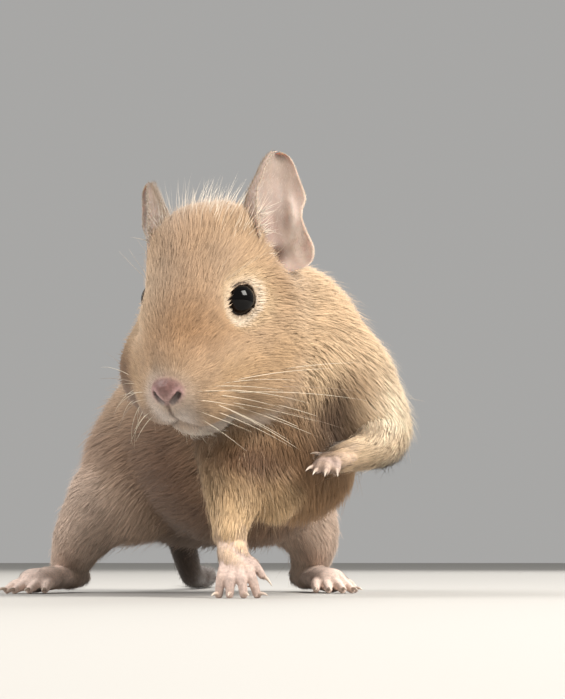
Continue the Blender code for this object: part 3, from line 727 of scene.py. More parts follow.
def head_share(points):
    """One on the head, falling to zero over the neck."""
    near = np.minimum.reduce([part.measure(points, 1.0) for part in HEAD_PARTS])
    rest = np.minimum.reduce([part.measure(points, 1.0) for part in BODY_PARTS + LEFT_ARM + RIGHT_ARM])
    return ramp(rest - near, -5.0, 3.0) * (near < FAR * 0.5)


def head_marks(points):
    """Tones laid over one another on the head, each with its amount at every point."""
    left, forward, up = in_head(points)
    side = np.abs(left)
    nose_far = nose_distance(points)

    def spot(across, x, y, z, width):
        return bump(np.sqrt((across - x) ** 2 + (forward - y) ** 2 + (up - z) ** 2), width)

    # forehead, sides of the face, bridge of the nose, brow, painted light on the right temple
    yield (0.37, 0.22, 0.115), bump(side, 7.0) * ramp(forward, -14, 2) * ramp(up, -12.0, -2.0) * 0.7
    yield (0.47, 0.305, 0.165), ramp(side, 6.0, 11.0) * ramp(-up, 6.0, 14.0) * 0.8
    yield (0.36, 0.185, 0.078), bump(side, 9.0) * bump(forward - 12.5, 6.5) * ramp(up, -13.0, -6.0) * 0.8
    yield (0.44, 0.32, 0.235), spot(left, 0.0, 5.0, 6.0, 9.0) * 0.45
    yield (0.88, 0.69, 0.50), spot(left, -6.5, 4.5, -1.5, 8.0) * 0.6
    # back of the head, crown, muzzle, halo of the nose
    yield (0.47, 0.40, 0.345), ramp(-forward, 6.0, 20.0) * ramp(up, -8.0, 4.0) * 0.8
    yield (0.58, 0.49, 0.42), ramp(up, 10.0, 16.0) * ramp(-left, -12.0, 4.0) * 0.3
    yield (0.47, 0.32, 0.205), bump(nose_far - 6.0, 6.0) * 0.6
    yield (0.66, 0.54, 0.45), bump(nose_far - 4.0, 2.0) * (0.35 + 0.45 * ramp(-left, -1.0, 4.0))
    # behind the eyes, before the ears, cheeks, painted shade on the right side of the muzzle
    yield (0.34, 0.195, 0.095), spot(side, 13.5, -8.0, -3.0, 5.0) * 0.55
    yield (0.66, 0.49, 0.33), spot(side, 18.5, -12.0, -9.0, 7.0) * 0.7
    yield (0.48, 0.325, 0.20), ramp(-up, 12.0, 18.0) * ramp(side, 4.0, 9.0) * ramp(forward, -14.0, -4.0) * 0.8
    yield (0.13, 0.065, 0.032), ramp(-left, 8.0, 14.0) * ramp(-up, 7.0, 14.0) * 0.85
    # a ring round each eye, the pale edge of its lids and their dark margin, which reaches further over the
    # upper lid as painted shade
    for name in SIDES:
        away, off_axis, lid, turn = eye_angles(points, name)
        edge = away * (off_axis - lid)
        upper = ramp(np.sin(turn), -0.2, 0.9)
        yield (0.60, 0.43, 0.26), bump(away - 5.4, 1.6) * ramp(away, 4.0, 4.7) * 0.7
        yield (0.80, 0.69, 0.56), bump(edge - 0.3, 0.5) * (away < EYE_RADIUS + 2.5) * (0.65 - 0.4 * upper)
        dark = 1.0 - ramp(edge, -0.42 + 0.3 * upper, -0.16 + 0.34 * upper)
        yield (0.05, 0.03, 0.025), dark * (away < EYE_RADIUS + 1.6) * 0.95
    # bare nose, its top, its wings, and painted shade in the nostrils
    bare = 1.0 - ramp(NOSE_BARE.measure(points, 0.0), -0.5, 0.4)
    slit = chain_distance(points, NOSTRILS)
    yield (0.33, 0.19, 0.165), bare
    yield (0.20, 0.10, 0.09), bare * ramp(up, -14.5, -12.0) * 0.8
    yield (0.56, 0.34, 0.33), bare * bump(slit - 1.15, 0.4) * 0.8
    yield (0.02, 0.01, 0.01), (1.0 - ramp(slit, 0.55, 0.85)) * 0.95
    # upper lips, chin, painted shade on the throat and the right side of the chin, nape, painted light on the
    # left jowl, left lip
    upper_lips = bump(np.hypot(side - 2.0, (up + 19.5) / 1.3), 3.0)
    yield (0.82, 0.72, 0.66), upper_lips * ramp(forward, 9.0, 15.0) * 0.85
    yield (0.86, 0.76, 0.68), ramp(-up, 22.0, 25.0) * ramp(forward, 1.0, 9.0) * 0.85
    yield (0.26, 0.15, 0.085), ramp(-up, 24.0, 29.0) * ramp(-forward, -5.0, 2.0) * 0.8
    yield (0.26, 0.17, 0.12), ramp(-left, 2.5, 7.0) * ramp(-up, 15.0, 19.0) * 0.6
    yield (0.66, 0.47, 0.30), ramp(-forward, 13.0, 23.0) * 0.8
    yield (0.95, 0.72, 0.48), spot(left, 20.0, -8.0, -21.5, 6.0) * 0.55
    yield (0.82, 0.70, 0.56), spot(left, 8.2, 8.0, -25.6, 4.0) * 0.55
    # painted shade in the mouth line and the cleft of the lip, floors of the ear hollows
    yield (0.10, 0.06, 0.045), bump(chain_distance(points, MOUTH_LINES), 0.85) * 0.85
    yield (0.12, 0.07, 0.06), bump(chain_distance(points, LIP_CLEFT), 0.5) * 0.8
    for hollow in HOLLOWS:
        yield (0.30, 0.18, 0.13), (1.0 - ramp(hollow.measure(points, 0.0), 0.3, 1.2)) * 0.8


def markings(points, base):
    """The coat's colour by place, in linear light, with painted light and shade among its markings."""
    gold = np.broadcast_to(np.array(GOLD), base.shape)
    for tone, amount in head_marks(points):
        gold = mixed(gold, tone, amount)
    # painted light and shade laid over the body's colours
    for middle, size, tone, amount in PAINTED_LIGHT_AND_SHADE:
        base = mixed(base, tone, bump(np.linalg.norm((points - middle) / size, axis=1), 1.0) * amount)
    return mixed(base, gold, head_share(points))


# ------------------------------------------------------------------ materials
def new_material(name, sockets):
    """A material, its nodes and links, and its shader with uniform values set on its sockets."""
    material = bpy.data.materials.new(name)
    material.use_nodes = True
    tree = material.node_tree
    shader = tree.nodes["Principled BSDF"]
    set_inputs(shader, sockets)
    return material, tree.nodes, tree.links, shader


def set_inputs(node, values):
    for name, value in values.items():
        node.inputs[name].default_value = value


def painted_material(name, grain, vary, sockets, relief=None, wet=None):
    """The painted colours, varied by noise: grain is its scale and detail, vary the range taken from
    it and the brightness at both ends. Relief is a bump's noise scale, detail, strength and depth;
    wet is the roughness where the paint is wet and where it is dry."""
    material, nodes, links, shader = new_material(name, sockets)
    colour = nodes.new("ShaderNodeVertexColor")
    colour.layer_name = "Coat"
    place = nodes.new("ShaderNodeTexCoord")

    def noise(scale, detail):
        node = nodes.new("ShaderNodeTexNoise")
        set_inputs(node, {"Scale": scale, "Detail": detail})
        links.new(place.outputs["Object"], node.inputs["Vector"])
        return node.outputs["Fac"]

    def spread(value, *ends):
        node = nodes.new("ShaderNodeMapRange")
        set_inputs(node, dict(zip(("From Min", "From Max", "To Min", "To Max"), ends)))
        links.new(value, node.inputs["Value"])
        return node.outputs["Result"]

    scale = nodes.new("ShaderNodeVectorMath")
    scale.operation = "SCALE"
    links.new(colour.outputs["Color"], scale.inputs[0])
    links.new(spread(noise(*grain), *vary), scale.inputs["Scale"])
    links.new(scale.outputs["Vector"], shader.inputs["Base Color"])
    if relief:
        bumped = nodes.new("ShaderNodeBump")
        set_inputs(bumped, {"Strength": relief[2], "Distance": relief[3]})
        links.new(noise(*relief[:2]), bumped.inputs["Height"])
        links.new(bumped.outputs["Normal"], shader.inputs["Normal"])
    if wet:
        links.new(spread(colour.outputs["Alpha"], 0.0, 1.0, *wet), shader.inputs["Roughness"])
    return material


def fur_material(name, roughness=0.62):
    return painted_material(name, (160.0, 3.0), (0.3, 0.7, 0.9, 1.08), {
        "Roughness": roughness, "Specular IOR Level": 0.28, "Sheen Weight": 0.15, "Sheen Roughness": 0.5})


def skin_material():
    return painted_material("skin", (1400.0, 4.0), (0.3, 0.7, 0.78, 1.12), {"Specular IOR Level": 0.4},
                            (1400.0, 4.0, 0.5, 0.0003), (0.3, 0.65))


def ear_material():
    return painted_material("ear_skin", (210.0, 2.0), (0.35, 0.7, 1.06, 0.82), {
        "Roughness": 0.55, "Specular IOR Level": 0.3, "Subsurface Weight": 0.25,
        "Subsurface Radius": (1.0, 0.35, 0.2), "Subsurface Scale": 0.0012}, (900.0, 5.0, 0.35, 0.0002))


# the eye from its middle plane to its front: iris rim, iris, pupil
EYE_STOPS = ((0.41, (0.09, 0.085, 0.09, 1)), (0.50, (0.008, 0.005, 0.004, 1)),
             (0.66, (0.012, 0.007, 0.005, 1)), (0.74, (0.002, 0.0015, 0.0015, 1)),
             (1.0, (0.002, 0.0015, 0.0015, 1)))


def eye_material():
    material, nodes, links, shader = new_material("eye", {"Roughness": 0.04, "Specular IOR Level": 0.2})
    place = nodes.new("ShaderNodeTexCoord")
    split = nodes.new("ShaderNodeSeparateXYZ")
    links.new(place.outputs["Object"], split.inputs["Vector"])
    shades = nodes.new("ShaderNodeValToRGB")
    stops = shades.color_ramp.elements
    stops[0].position, stops[0].color = EYE_STOPS[0]
    stops[1].position, stops[1].color = EYE_STOPS[-1]
    for position, tone in EYE_STOPS[1:-1]:
        stops.new(position).color = tone
    spread = nodes.new("ShaderNodeMapRange")
    set_inputs(spread, {"From Min": 0.0, "From Max": EYE_RADIUS * MM})
    links.new(split.outputs["Z"], spread.inputs["Value"])
    links.new(spread.outputs["Result"], shades.inputs["Fac"])
    links.new(shades.outputs["Color"], shader.inputs["Base Color"])
    return material


# ------------------------------------------------------------------ camera, floor and lights
CAMERA_AT = (0.0, -450.0, 8.0)
CAMERA_TILT = math.radians(5.83)
IMAGE_TALL = 699
FOCAL_PIXELS = 2066.0
SENSOR = 36.0
FLOOR_HALF = 6.0
FLOOR_TONE = (0.47, 0.455, 0.43, 1.0)
WORLD_TONE, WORLD_STRENGTH = (0.93, 0.92, 0.90, 1.0), 0.42
LIGHTS_AIM = (-8.0, 25.0, 45.0)
# name, place from the aim in metres, size, power and tint
LIGHTS = (("key", (0.58, -0.42, 0.56), 0.42, 12.0, (1.0, 0.965, 0.91)),
          ("fill", (-0.66, -0.20, 0.52), 0.6, 6.0, (1.0, 0.98, 0.96)),
          ("back", (0.35, 0.85, 0.60), 0.6, 6.0, (1.0, 0.98, 0.95)))


def set_stage():
    data = bpy.data.cameras.new("camera")
    data.sensor_width = data.sensor_height = SENSOR
    data.lens = FOCAL_PIXELS / IMAGE_TALL * SENSOR
    data.clip_start = 0.02
    camera = add_object("camera", data)
    camera.location = Vector(to_metres(CAMERA_AT))
    camera.rotation_euler = (math.pi / 2.0 + CAMERA_TILT, 0.0, 0.0)
    bpy.context.scene.camera = camera

    mesh = bmesh.new()
    bmesh.ops.create_grid(mesh, x_segments=1, y_segments=1, size=FLOOR_HALF)
    plane = bpy.data.meshes.new("floor")
    mesh.to_mesh(plane)
    mesh.free()
    floor = add_object("floor", plane)
    plane.materials.append(new_material("floor", {"Base Color": FLOOR_TONE, "Roughness": 0.9})[0])

    world = bpy.data.worlds.new("world")
    bpy.context.scene.world = world
    world.use_nodes = True
    set_inputs(world.node_tree.nodes["Background"], {"Color": WORLD_TONE, "Strength": WORLD_STRENGTH})

    aim = Vector(to_metres(LIGHTS_AIM))
    for name, place, size, power, tint in LIGHTS:
        lamp = bpy.data.lights.new(name, "AREA")
        lamp.size, lamp.energy, lamp.color = size, power, tint
        light = add_object(name, lamp)
        light.location = aim + Vector(place)
        light.rotation_euler = (aim - light.location).to_track_quat("-Z", "Y").to_euler()


# ------------------------------------------------------------------ roots of the coat
class Roots:
    """Places on the skin where tufts start, with everything the skin knows there."""

    def __init__(self, field, spot_faces, weights):
        self.corners = field["triangles"][spot_faces]
        self.weights = weights
        self.uv = np.einsum("nk,nkc->nc", weights, field["maps"][spot_faces])
        self.point = self.take(field["points"])
        self.normal = unit(self.take(field["normals"]))
        lie = self.take(field["lie"])
        self.lie = unit(lie - self.normal * (lie * self.normal).sum(1, keepdims=True))
        self.start = self.point - self.normal * ROOT_DEEP
        self.count = len(spot_faces)

    def take(self, values):
        picked = values[self.corners]
        if picked.ndim == 2:
            return (self.weights * picked).sum(1)
        return np.einsum("nk,nkc->nc", self.weights, picked)


def scatter(field, density, rng):
    """Roots spread over the skin's triangles at a number per square mm given at the vertices."""
    corners = field["points"][field["triangles"]]
    one, two = corners[:, 1] - corners[:, 0], corners[:, 2] - corners[:, 0]
    area = 0.5 * np.linalg.norm(np.cross(one, two), axis=1)
    amount = np.cumsum(area * density[field["triangles"]].mean(1))
    count = int(amount[-1])
    marks = (np.arange(count) + rng.random(count)) / count * amount[-1]
    faces = np.searchsorted(amount, marks)
    a, b = rng.random(count), rng.random(count)
    over = a + b > 1.0
    a[over], b[over] = 1.0 - a[over], 1.0 - b[over]
    return Roots(field, np.minimum(faces, len(area) - 1), np.column_stack((1.0 - a - b, a, b)))


# ------------------------------------------------------------------ tufts
PIECE_LIMIT = 190000
LEAST_TUFTS = 100
ROOT_DEEP = 0.12
FLOOR_GAP = 0.05
PATCH = 0.0015
BENT_FROM = 1.5
BENT_FACES = np.array(((0, 1, 2), (0, 2, 3), (0, 3, 1), (2, 1, 4), (3, 2, 4), (1, 3, 4)))
SHORT_FACES = np.array(((1, 0, 3), (2, 1, 3), (0, 2, 3), (0, 1, 2)))
# brightness at the root, round the middle and at the tip
COAT_SHADES = (0.84, 1.0, 1.10)
STRAY_SHADES = (0.72, 1.0, 1.12)
EAR_SHADES = (0.85, 1.0, 1.08)


def above_floor(points):
    points[:, 2] = np.maximum(points[:, 2], FLOOR_GAP)
    return points


def tuft_arrays(start, middle, tip, up, width, bent):
    """Closed three-sided tufts: their points and outward ways.

    A bent one swells from a point at its root to a ring and back to a point at its tip.
    """
    along = unit(tip - start)
    side = unit(np.cross(along, up))
    ridge = np.cross(side, along)
    half = (width * 0.5)[:, None]
    centre = middle if bent else start
    ring = [centre - side * half, centre + side * half, centre + ridge * half * 0.6]
    soft = [unit(up - side * 0.3), unit(up + side * 0.3), unit(up + ridge * 0.3)]
    if bent:
        return np.stack([start] + ring + [tip], 1), np.stack([up] + soft + [unit(up + along * 0.3)], 1)
    return np.stack(ring + [tip], 1), np.stack(soft + [up], 1)


def add_tufts(name, slot, material, start, middle, tip, up, width, colour, uv, bent, shades, soft=True):
    """Joined meshes of tufts, each piece under the triangle limit."""
    points, normals = tuft_arrays(start, middle, tip, up, width, bent)
    faces = BENT_FACES if bent else SHORT_FACES
    turn = np.arange(3) * 2.0 * math.pi / 3.0
    spread = np.column_stack((np.cos(turn), np.sin(turn))) * PATCH
    if bent:
        tones = [shades[0]] + [shades[1]] * 3 + [shades[2]]
        offsets = np.concatenate((((PATCH, PATCH),), spread, ((0.0, 0.0),)))
    else:
        tones = [0.5 * (shades[0] + shades[1])] * 3 + [shades[2]]
        offsets = np.concatenate((spread, ((0.0, 0.0),)))
    colours = np.clip(colour[:, None, :] * np.array(tones)[None, :, None], 0.0, 0.95)
    uvs = np.clip(uv, 0.002, 0.998)[:, None, :] + offsets[None]
    step = PIECE_LIMIT // len(faces)
    for number, begin in enumerate(range(0, len(points), step), 1):
        some = slice(begin, begin + step)
        count, rows = points[some].shape[:2]
        all_faces = (faces[None] + (np.arange(count) * rows)[:, None, None]).reshape(-1, 3)
        label = name if len(points) <= step else "%s_%d" % (name, number)
        item = make_mesh(label, points[some].reshape(-1, 3), all_faces)
        if soft:
            item.data.normals_split_custom_set_from_vertices(normals[some].reshape(-1, 3))
        paint(item, colours[some].reshape(-1, 3))
        layer = item.data.uv_layers.new(name="OFBake")
        layer.uv.foreach_set("vector", uvs[some].reshape(-1, 2)[all_faces.ravel()].astype(np.float32).ravel())
        item.data.materials.append(material)
        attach(item, "root")


def lock_numbers(points, size, seed):
    """Which small lock of the coat each root belongs to."""
    rng = np.random.default_rng(seed)
    axes = np.linalg.qr(rng.normal(size=(3, 3)))[0]
    place = (points @ axes + wander(points, size * 5.0, seed) * size * 0.5
             + rng.normal(0.0, 0.16 * size, points.shape))
    cells = np.floor(place / size).astype(np.int64)
    return np.unique(cells @ np.array((1, 4001, 4001 ** 2)), return_inverse=True)[1].ravel()


def lock_means(values, locks):
    """Each root's lock average of rows of numbers."""
    count = np.bincount(locks)
    sums = np.column_stack([np.bincount(locks, values[:, k]) for k in range(values.shape[1])])
    return (sums / count[:, None])[locks]


def turned(flat, upright, angle):
    return flat * np.cos(angle)[:, None] + upright * np.sin(angle)[:, None]


GUARD_SHARE, DARK_SHARE, PALE_SHARE = 0.055, 0.08, 0.12
GUARD_LONGER, GUARD_THINNER, PALE_LIFT = 1.3, 0.5, 1.14
# shares of a tuft's length below and above its bend
COAT_BEND, STRAY_BEND = (0.42, 0.58), (0.45, 0.55)
BIG_LOCK, SMALL_LOCK = (2.3, 11), (1.15, 12)
LOCK_DRAW, LOCK_PULL = 0.35, 0.26


def grow_coat(field):
    """Tufts all over the skin, gathered in locks, with longer thin guard hairs among them."""
    material, short_material = fur_material("coat"), fur_material("short_coat", 0.7)
    roots = scatter(field, field["density"], RNG)
    region = field["region"][roots.corners[:, 0]]
    colour = markings(roots.point, roots.take(field["base"]))
    length, width = roots.take(field["length"]), roots.take(field["width"])
    depth = np.maximum(roots.take(field["depth"]), 0.15)
    grizzle = roots.take(field["grizzle"])
    count = roots.count
    length = length * np.clip(RNG.normal(1.0, 0.17, count), 0.6, 1.5)
    width = width * RNG.uniform(0.7, 1.25, count)
    rise = np.clip(depth / length * RNG.uniform(0.7, 1.15, count), 0.08, 0.55)
    guard = RNG.random(count) < GUARD_SHARE
    length = np.where(guard, length * GUARD_LONGER, length)
    width = np.where(guard, width * GUARD_THINNER, width)
    lift = np.arcsin(np.where(guard, np.minimum(rise * 1.35 + 0.08, 0.7), rise))
    side = np.cross(roots.normal, roots.lie)
    sway = RNG.normal(0.0, 0.17, count) + 0.20 * (wander(roots.point, 14.0, 5) * side).sum(1)
    way = unit(turned(roots.lie, side, sway))
    middle = roots.start + turned(way, roots.normal, lift * 1.3) * (length * COAT_BEND[0])[:, None]
    tip = middle + turned(way, roots.normal, lift * 0.5) * (length * COAT_BEND[1])[:, None]

    big, small = lock_numbers(roots.point, *BIG_LOCK), lock_numbers(roots.point, *SMALL_LOCK)
    drawn = tip + (lock_means(tip - roots.start, big) - (tip - roots.start)) * LOCK_DRAW
    pull = np.clip((length - 1.6) / 7.0, 0.0, LOCK_PULL) * RNG.uniform(0.5, 1.3, count) * ~guard
    tip = drawn + (lock_means(drawn, big) - drawn) * pull[:, None]
    tones = RNG.normal(1.0, 0.05, big.max() + 1)[big] * RNG.normal(1.0, 0.05, small.max() + 1)[small]
    light = tones * np.clip(RNG.normal(1.0, 0.06 + 0.03 * grizzle, count), 0.6, 1.45)
    dark = RNG.random(count) < DARK_SHARE + 0.06 * grizzle
    light = np.where(dark, light * (0.85 - 0.08 * grizzle), light)
    pale = RNG.random(count) < PALE_SHARE
    light = np.where(pale | guard, light * PALE_LIFT, light)
    colour = np.clip(colour * light[:, None], 0.004, 0.92)
    tip, middle = above_floor(tip), above_floor(middle)
    bent = length > BENT_FROM
    for k, look in enumerate(LOOKS):
        for is_bent, kind, fur in ((True, "long", material), (False, "short", short_material)):
            held = np.flatnonzero((region == k) & (bent == is_bent))
            if len(held) >= LEAST_TUFTS:
                add_tufts("coat_%s_%s" % (look.name, kind), look.slot, fur, roots.start[held], middle[held],
                          tip[held], roots.normal[held], width[held], colour[held], roots.uv[held],
                          is_bent, COAT_SHADES)
    grow_strays(field, material)


STRAY_TONE = (0.86, 0.76, 0.62)


def grow_strays(field, material):
    """Sparse long pale hairs that stand out of the coat, most of them on the crown."""
    roots = scatter(field, field["stray"], RNG)
    count = roots.count
    crown = roots.take(field["crown"])
    length = (7.5 + 1.5 * crown) * RNG.uniform(0.6, 1.25, count)
    stand = RNG.uniform(0.35, 0.6, count) + 0.9 * crown
    way = unit(roots.lie + roots.normal * stand[:, None] + RNG.normal(0.0, 0.2, (count, 3)))
    last = unit(way + 0.25 * roots.lie + RNG.normal(0.0, 0.1, (count, 3)))
    middle = roots.start + way * (length * STRAY_BEND[0])[:, None]
    tip = above_floor(middle + last * (length * STRAY_BEND[1])[:, None])
    tone = mixed(roots.take(field["base"]), STRAY_TONE, 0.25 + 0.6 * crown)
    tone = tone * RNG.uniform(0.85, 1.1, (count, 1))
    add_tufts("coat_stray", "golden_coat", material, roots.start, above_floor(middle), tip, roots.normal,
              RNG.uniform(0.06, 0.09, count), tone, roots.uv, True, STRAY_SHADES)


# ------------------------------------------------------------------ ears
# share of the height, inner and outer edge in mm from the ear's middle line
EAR_EDGES = (
    (-0.16, -3.5, -2.0), (-0.06, -5.2, -0.8), (0.0, -6.2, 1.0), (0.03, -6.6, 3.2), (0.06, -7.0, 5.6),
    (0.10, -7.5, 7.1), (0.15, -8.2, 7.8), (0.23, -8.9, 8.0), (0.34, -9.2, 6.7), (0.45, -9.2, 5.6),
    (0.53, -8.9, 5.8), (0.62, -8.2, 6.8), (0.70, -7.0, 6.4), (0.78, -5.7, 5.6), (0.86, -4.4, 4.9),
    (0.93, -3.0, 4.0), (0.975, -1.8, 2.8), (1.0, -0.2, 1.0))
EAR_ROWS, EAR_COLUMNS = 72, 48
EAR_WALL_START, EAR_WALL_TALL = -0.6, 4.2
EAR_ROOT_SET = 6.0
EAR_SKIN, EAR_HIDE, EAR_HIDE_RIM = (0.43, 0.335, 0.29), (0.31, 0.23, 0.165), (0.55, 0.43, 0.34)
# painted shade: the far right ear and its hairs are painted darker
EAR_PAINTED_SHADE = {"left": 1.0, "right": 0.72}
EAR_SEED = {"left": 77, "right": 78}
EAR_BENT_FROM, EAR_ROOT_DEEP = 1.6, 0.05
# hairs of each ear: name, number, front or back, rows and columns that they cover, lengths, thickness,
# tone, lean up, across and out, shaded as one soft surface or not, leaning by the ear's own axes or not
EAR_HAIRS = (
    ("down", 2600, 0, (0.26, 0.97), (-0.6, 0.97), (0.5, 1.0), 0.08,
     (0.50, 0.40, 0.335), (0.9, 0.1, 0.25), 1, 0),
    ("back_coat", 5200, 1, (0.03, 0.99), (-0.98, 0.98), (1.0, 1.8), 0.15,
     (0.34, 0.25, 0.18), (1, 0, 0.2), 1, 0),
    ("rim_outer", 500, 0, (0.08, 0.99), (0.955, 1.0), (0.4, 0.8), 0.09,
     (0.74, 0.60, 0.48), (0.9, 0.3, 0.1), 0, 0),
    ("rim_inner", 600, 0, (0.22, 0.99), (-1.0, -0.93), (0.6, 1.3), 0.10,
     (0.70, 0.56, 0.44), (0.8, -0.3, 0.1), 0, 0),
    ("fringe", 44, 0, (0.30, 0.50), (-0.9, -0.52), (4.5, 7.5), 0.15,
     (0.80, 0.70, 0.58), (0.5, 0.8, 0.3), 0, 1),
    ("canal_hair", 18, 0, (0.22, 0.30), (-0.85, -0.5), (4.0, 6.0), 0.14,
     (0.80, 0.70, 0.58), (0.3, 0.9, 0.3), 0, 1),
    ("base_tuft", 300, 0, (0.0, 0.2), (-0.98, -0.3), (2.4, 4.2), 0.16,
     (0.50, 0.35, 0.22), (0.6, 0.3, 0.5), 0, 0),
    ("front_fur", 700, 1, (0.02, 0.30), (-0.98, -0.45), (1.8, 3.0), 0.17,
     (0.42, 0.28, 0.17), (0.9, -0.15, 0.25), 0, 0),
    ("foot_fur", 420, 0, (0.0, 0.1), (-0.4, 0.95), (2.0, 3.4), 0.17,
     (0.56, 0.41, 0.27), (0.8, 0.1, 0.3), 0, 0),
)


def ear_sheet(side):
    """Front and back of one cupped ear as grids of points, with its colours."""
    base, length, wide, rise, out = ear_axes(side)
    table = curve_points(EAR_EDGES, 8)
    heights = np.linspace(EAR_EDGES[0][0], 0.999, EAR_ROWS)
    inner, outer = (np.interp(heights, table[:, 0], table[:, k])[:, None] for k in (1, 2))
    t, across = np.meshgrid(heights, np.linspace(-1.0, 1.0, EAR_COLUMNS), indexing="ij")
    roll = np.clip((EAR_WALL_START - across) / (EAR_WALL_START + 1.0), 0.0, 1.0)
    spread = (np.maximum(across, EAR_WALL_START) - EAR_WALL_START) / (1.0 - EAR_WALL_START)
    a = inner + (outer - inner) * spread + 0.7 * roll ** 2
    left_to_top = np.clip(1.0 - t, 0.0, 1.0)
    edge = 1.0 - np.abs(across)
    rim = np.exp(-edge / 0.05)
    fold = bump(a - 3.2, 1.1) * bump(t - 0.46, 0.16)
    lobe = bump(a - 4.5, 2.4) * bump(t - 0.2, 0.1)
    canal = bump(a + 0.2, 2.6) * bump(t - 0.155 - 0.010 * a, 0.055)
    risen = np.clip((t - 0.02) / 0.22, 0.0, 1.0)
    wall = EAR_WALL_TALL * roll * np.clip((1.0 - t) / 0.5, 0.0, 1.0) ** 0.8 * risen
    cup = 4.4 * 4.0 * spread * (1.0 - spread) * (1.0 - 0.55 * t) * np.clip(1.0 - 0.2 * t, 0, 1) - wall
    cup += 3.6 * canal + 0.8 * lobe - 1.1 * fold + EAR_ROOT_SET * ramp(0.08 - t, 0.0, 0.24)
    cup += 0.12 * np.sin(a * 2.1 + 5.0 * t) * left_to_top
    front = base + rise * (length * t)[..., None] + wide * a[..., None] - out * cup[..., None]
    back = front - out * (0.42 + 0.9 * left_to_top * np.clip(edge * 1.5, 0.0, 1.0))[..., None]
    vein = np.abs(np.sin(a * 1.3 + 4.0 * t + 1.5 * np.sin(7.0 * t))) ** 14
    colour = np.broadcast_to(np.array(EAR_SKIN), front.shape)
    for tone, amount in (((0.49, 0.36, 0.31), bump(t - 0.16, 0.16) * 0.8),
                         ((0.64, 0.53, 0.44), bump(a - 5.6, 3.2) * bump(t - 0.26, 0.17) * 0.8),
                         # painted shade on the ear skin below the fringe
                         ((0.36, 0.235, 0.195), bump(a + 1.5, 4.0) * bump(t - 0.40, 0.14) * 0.75),
                         ((0.37, 0.28, 0.225), bump(t - 0.85, 0.14) * 0.6),
                         ((0.66, 0.53, 0.43), rim * 0.95),
                         ((0.60, 0.48, 0.40), fold * 0.8),
                         # painted shade in the canal's pit
                         ((0.09, 0.042, 0.03), canal * 1.3),
                         ((0.40, 0.25, 0.21), vein * 0.25 * np.clip(1.2 - t, 0, 1))):
        colour = mixed(colour, tone, np.clip(amount, 0.0, 1.0))
    hide = np.array(EAR_HIDE) * (1.0 - 0.35 * bump(t - 0.3, 0.3) * roll ** 0.5)[..., None]
    return front, back, colour, mixed(hide, EAR_HIDE_RIM, rim * 0.8)


def closed_sheet(front):
    """Faces that wrap two matching grids of points into one closed shell."""
    rows, columns = front.shape[:2]
    total = rows * columns
    index = np.arange(total).reshape(rows, columns)
    a, b, c, d = index[:-1, :-1], index[:-1, 1:], index[1:, 1:], index[1:, :-1]
    loop = np.concatenate((index[0, :-1], index[:-1, -1], index[-1, :0:-1], index[:0:-1, 0]))
    after = np.roll(loop, -1)
    return np.concatenate((np.stack((a, b, c, d), -1).reshape(-1, 4),
                           np.stack((d, c, b, a), -1).reshape(-1, 4) + total,
                           np.column_stack((after, loop, loop + total, after + total))))


def ear_hairs(side, surface, sign, material, rng, row):
    """One kind of hair on one face of an ear, rooted at random between two rows and two columns."""
    label, count, _, held, span, sizes, thick, tone, lean, soft, by_axes = row
    rows, columns = surface.shape[:2]
    i = (held[0] + (held[1] - held[0]) * rng.random(count)) * (rows - 1)
    j = (span[0] + (span[1] - span[0]) * rng.random(count) + 1.0) * 0.5 * (columns - 1)
    i, j = np.clip(i, 0, rows - 1.001), np.clip(j, 0, columns - 1.001)
    a, b = i.astype(int), j.astype(int)
    u, v = (i - a)[:, None], (j - b)[:, None]
    spot = (surface[a, b] * (1 - u) * (1 - v) + surface[a + 1, b] * u * (1 - v)
            + surface[a, b + 1] * (1 - u) * v + surface[a + 1, b + 1] * u * v)
    slope_u, slope_v = surface[a + 1, b] - surface[a, b], surface[a, b + 1] - surface[a, b]
    normal = unit(np.cross(slope_v, slope_u)) * sign * SIDES[side]
    _, _, wide, rise, out = ear_axes(side)
    ways = (rise, wide, out) if by_axes else (unit(slope_u), unit(slope_v), normal)
    way = unit(sum(part * share for part, share in zip(ways, lean)) + rng.normal(0, 0.2, (count, 3)))
    size = rng.uniform(*sizes, count)
    middle = spot + way * (size * 0.5)[:, None]
    curl = unit(way + np.array((0, 0, -0.12)) + rng.normal(0, 0.08, (count, 3)))
    tip = middle + curl * (size * 0.5)[:, None]
    colours = np.array(tone) * EAR_PAINTED_SHADE[side] * rng.uniform(0.75, 1.2, (count, 1))
    uv = np.column_stack((j / columns, i / rows)) * 0.96 + 0.02
    add_tufts("pinna_%s_%s" % (side, label), "ear_skin", material, spot - normal * EAR_ROOT_DEEP, middle, tip,
              normal, thick * rng.uniform(0.7, 1.2, count), colours, uv, size.mean() > EAR_BENT_FROM,
              EAR_SHADES, bool(soft))


def build_ear(side, material, fur):
    front, back, colour, hide = ear_sheet(side)
    faces = closed_sheet(front)
    if SIDES[side] < 0:
        faces = faces[:, ::-1]
    item = make_mesh("pinna_" + side, np.concatenate((front.reshape(-1, 3), back.reshape(-1, 3))), faces)
    paint(item, np.concatenate((colour.reshape(-1, 3), hide.reshape(-1, 3))) * EAR_PAINTED_SHADE[side])
    item.data.materials.append(material)
    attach(item, "root")
    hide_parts("ear_" + side)
    rng = np.random.default_rng(EAR_SEED[side])
    for row in EAR_HAIRS:
        surface, sign = ((front, 1.0), (back, -1.0))[row[2]]
        ear_hairs(side, surface, sign, fur, rng, row)


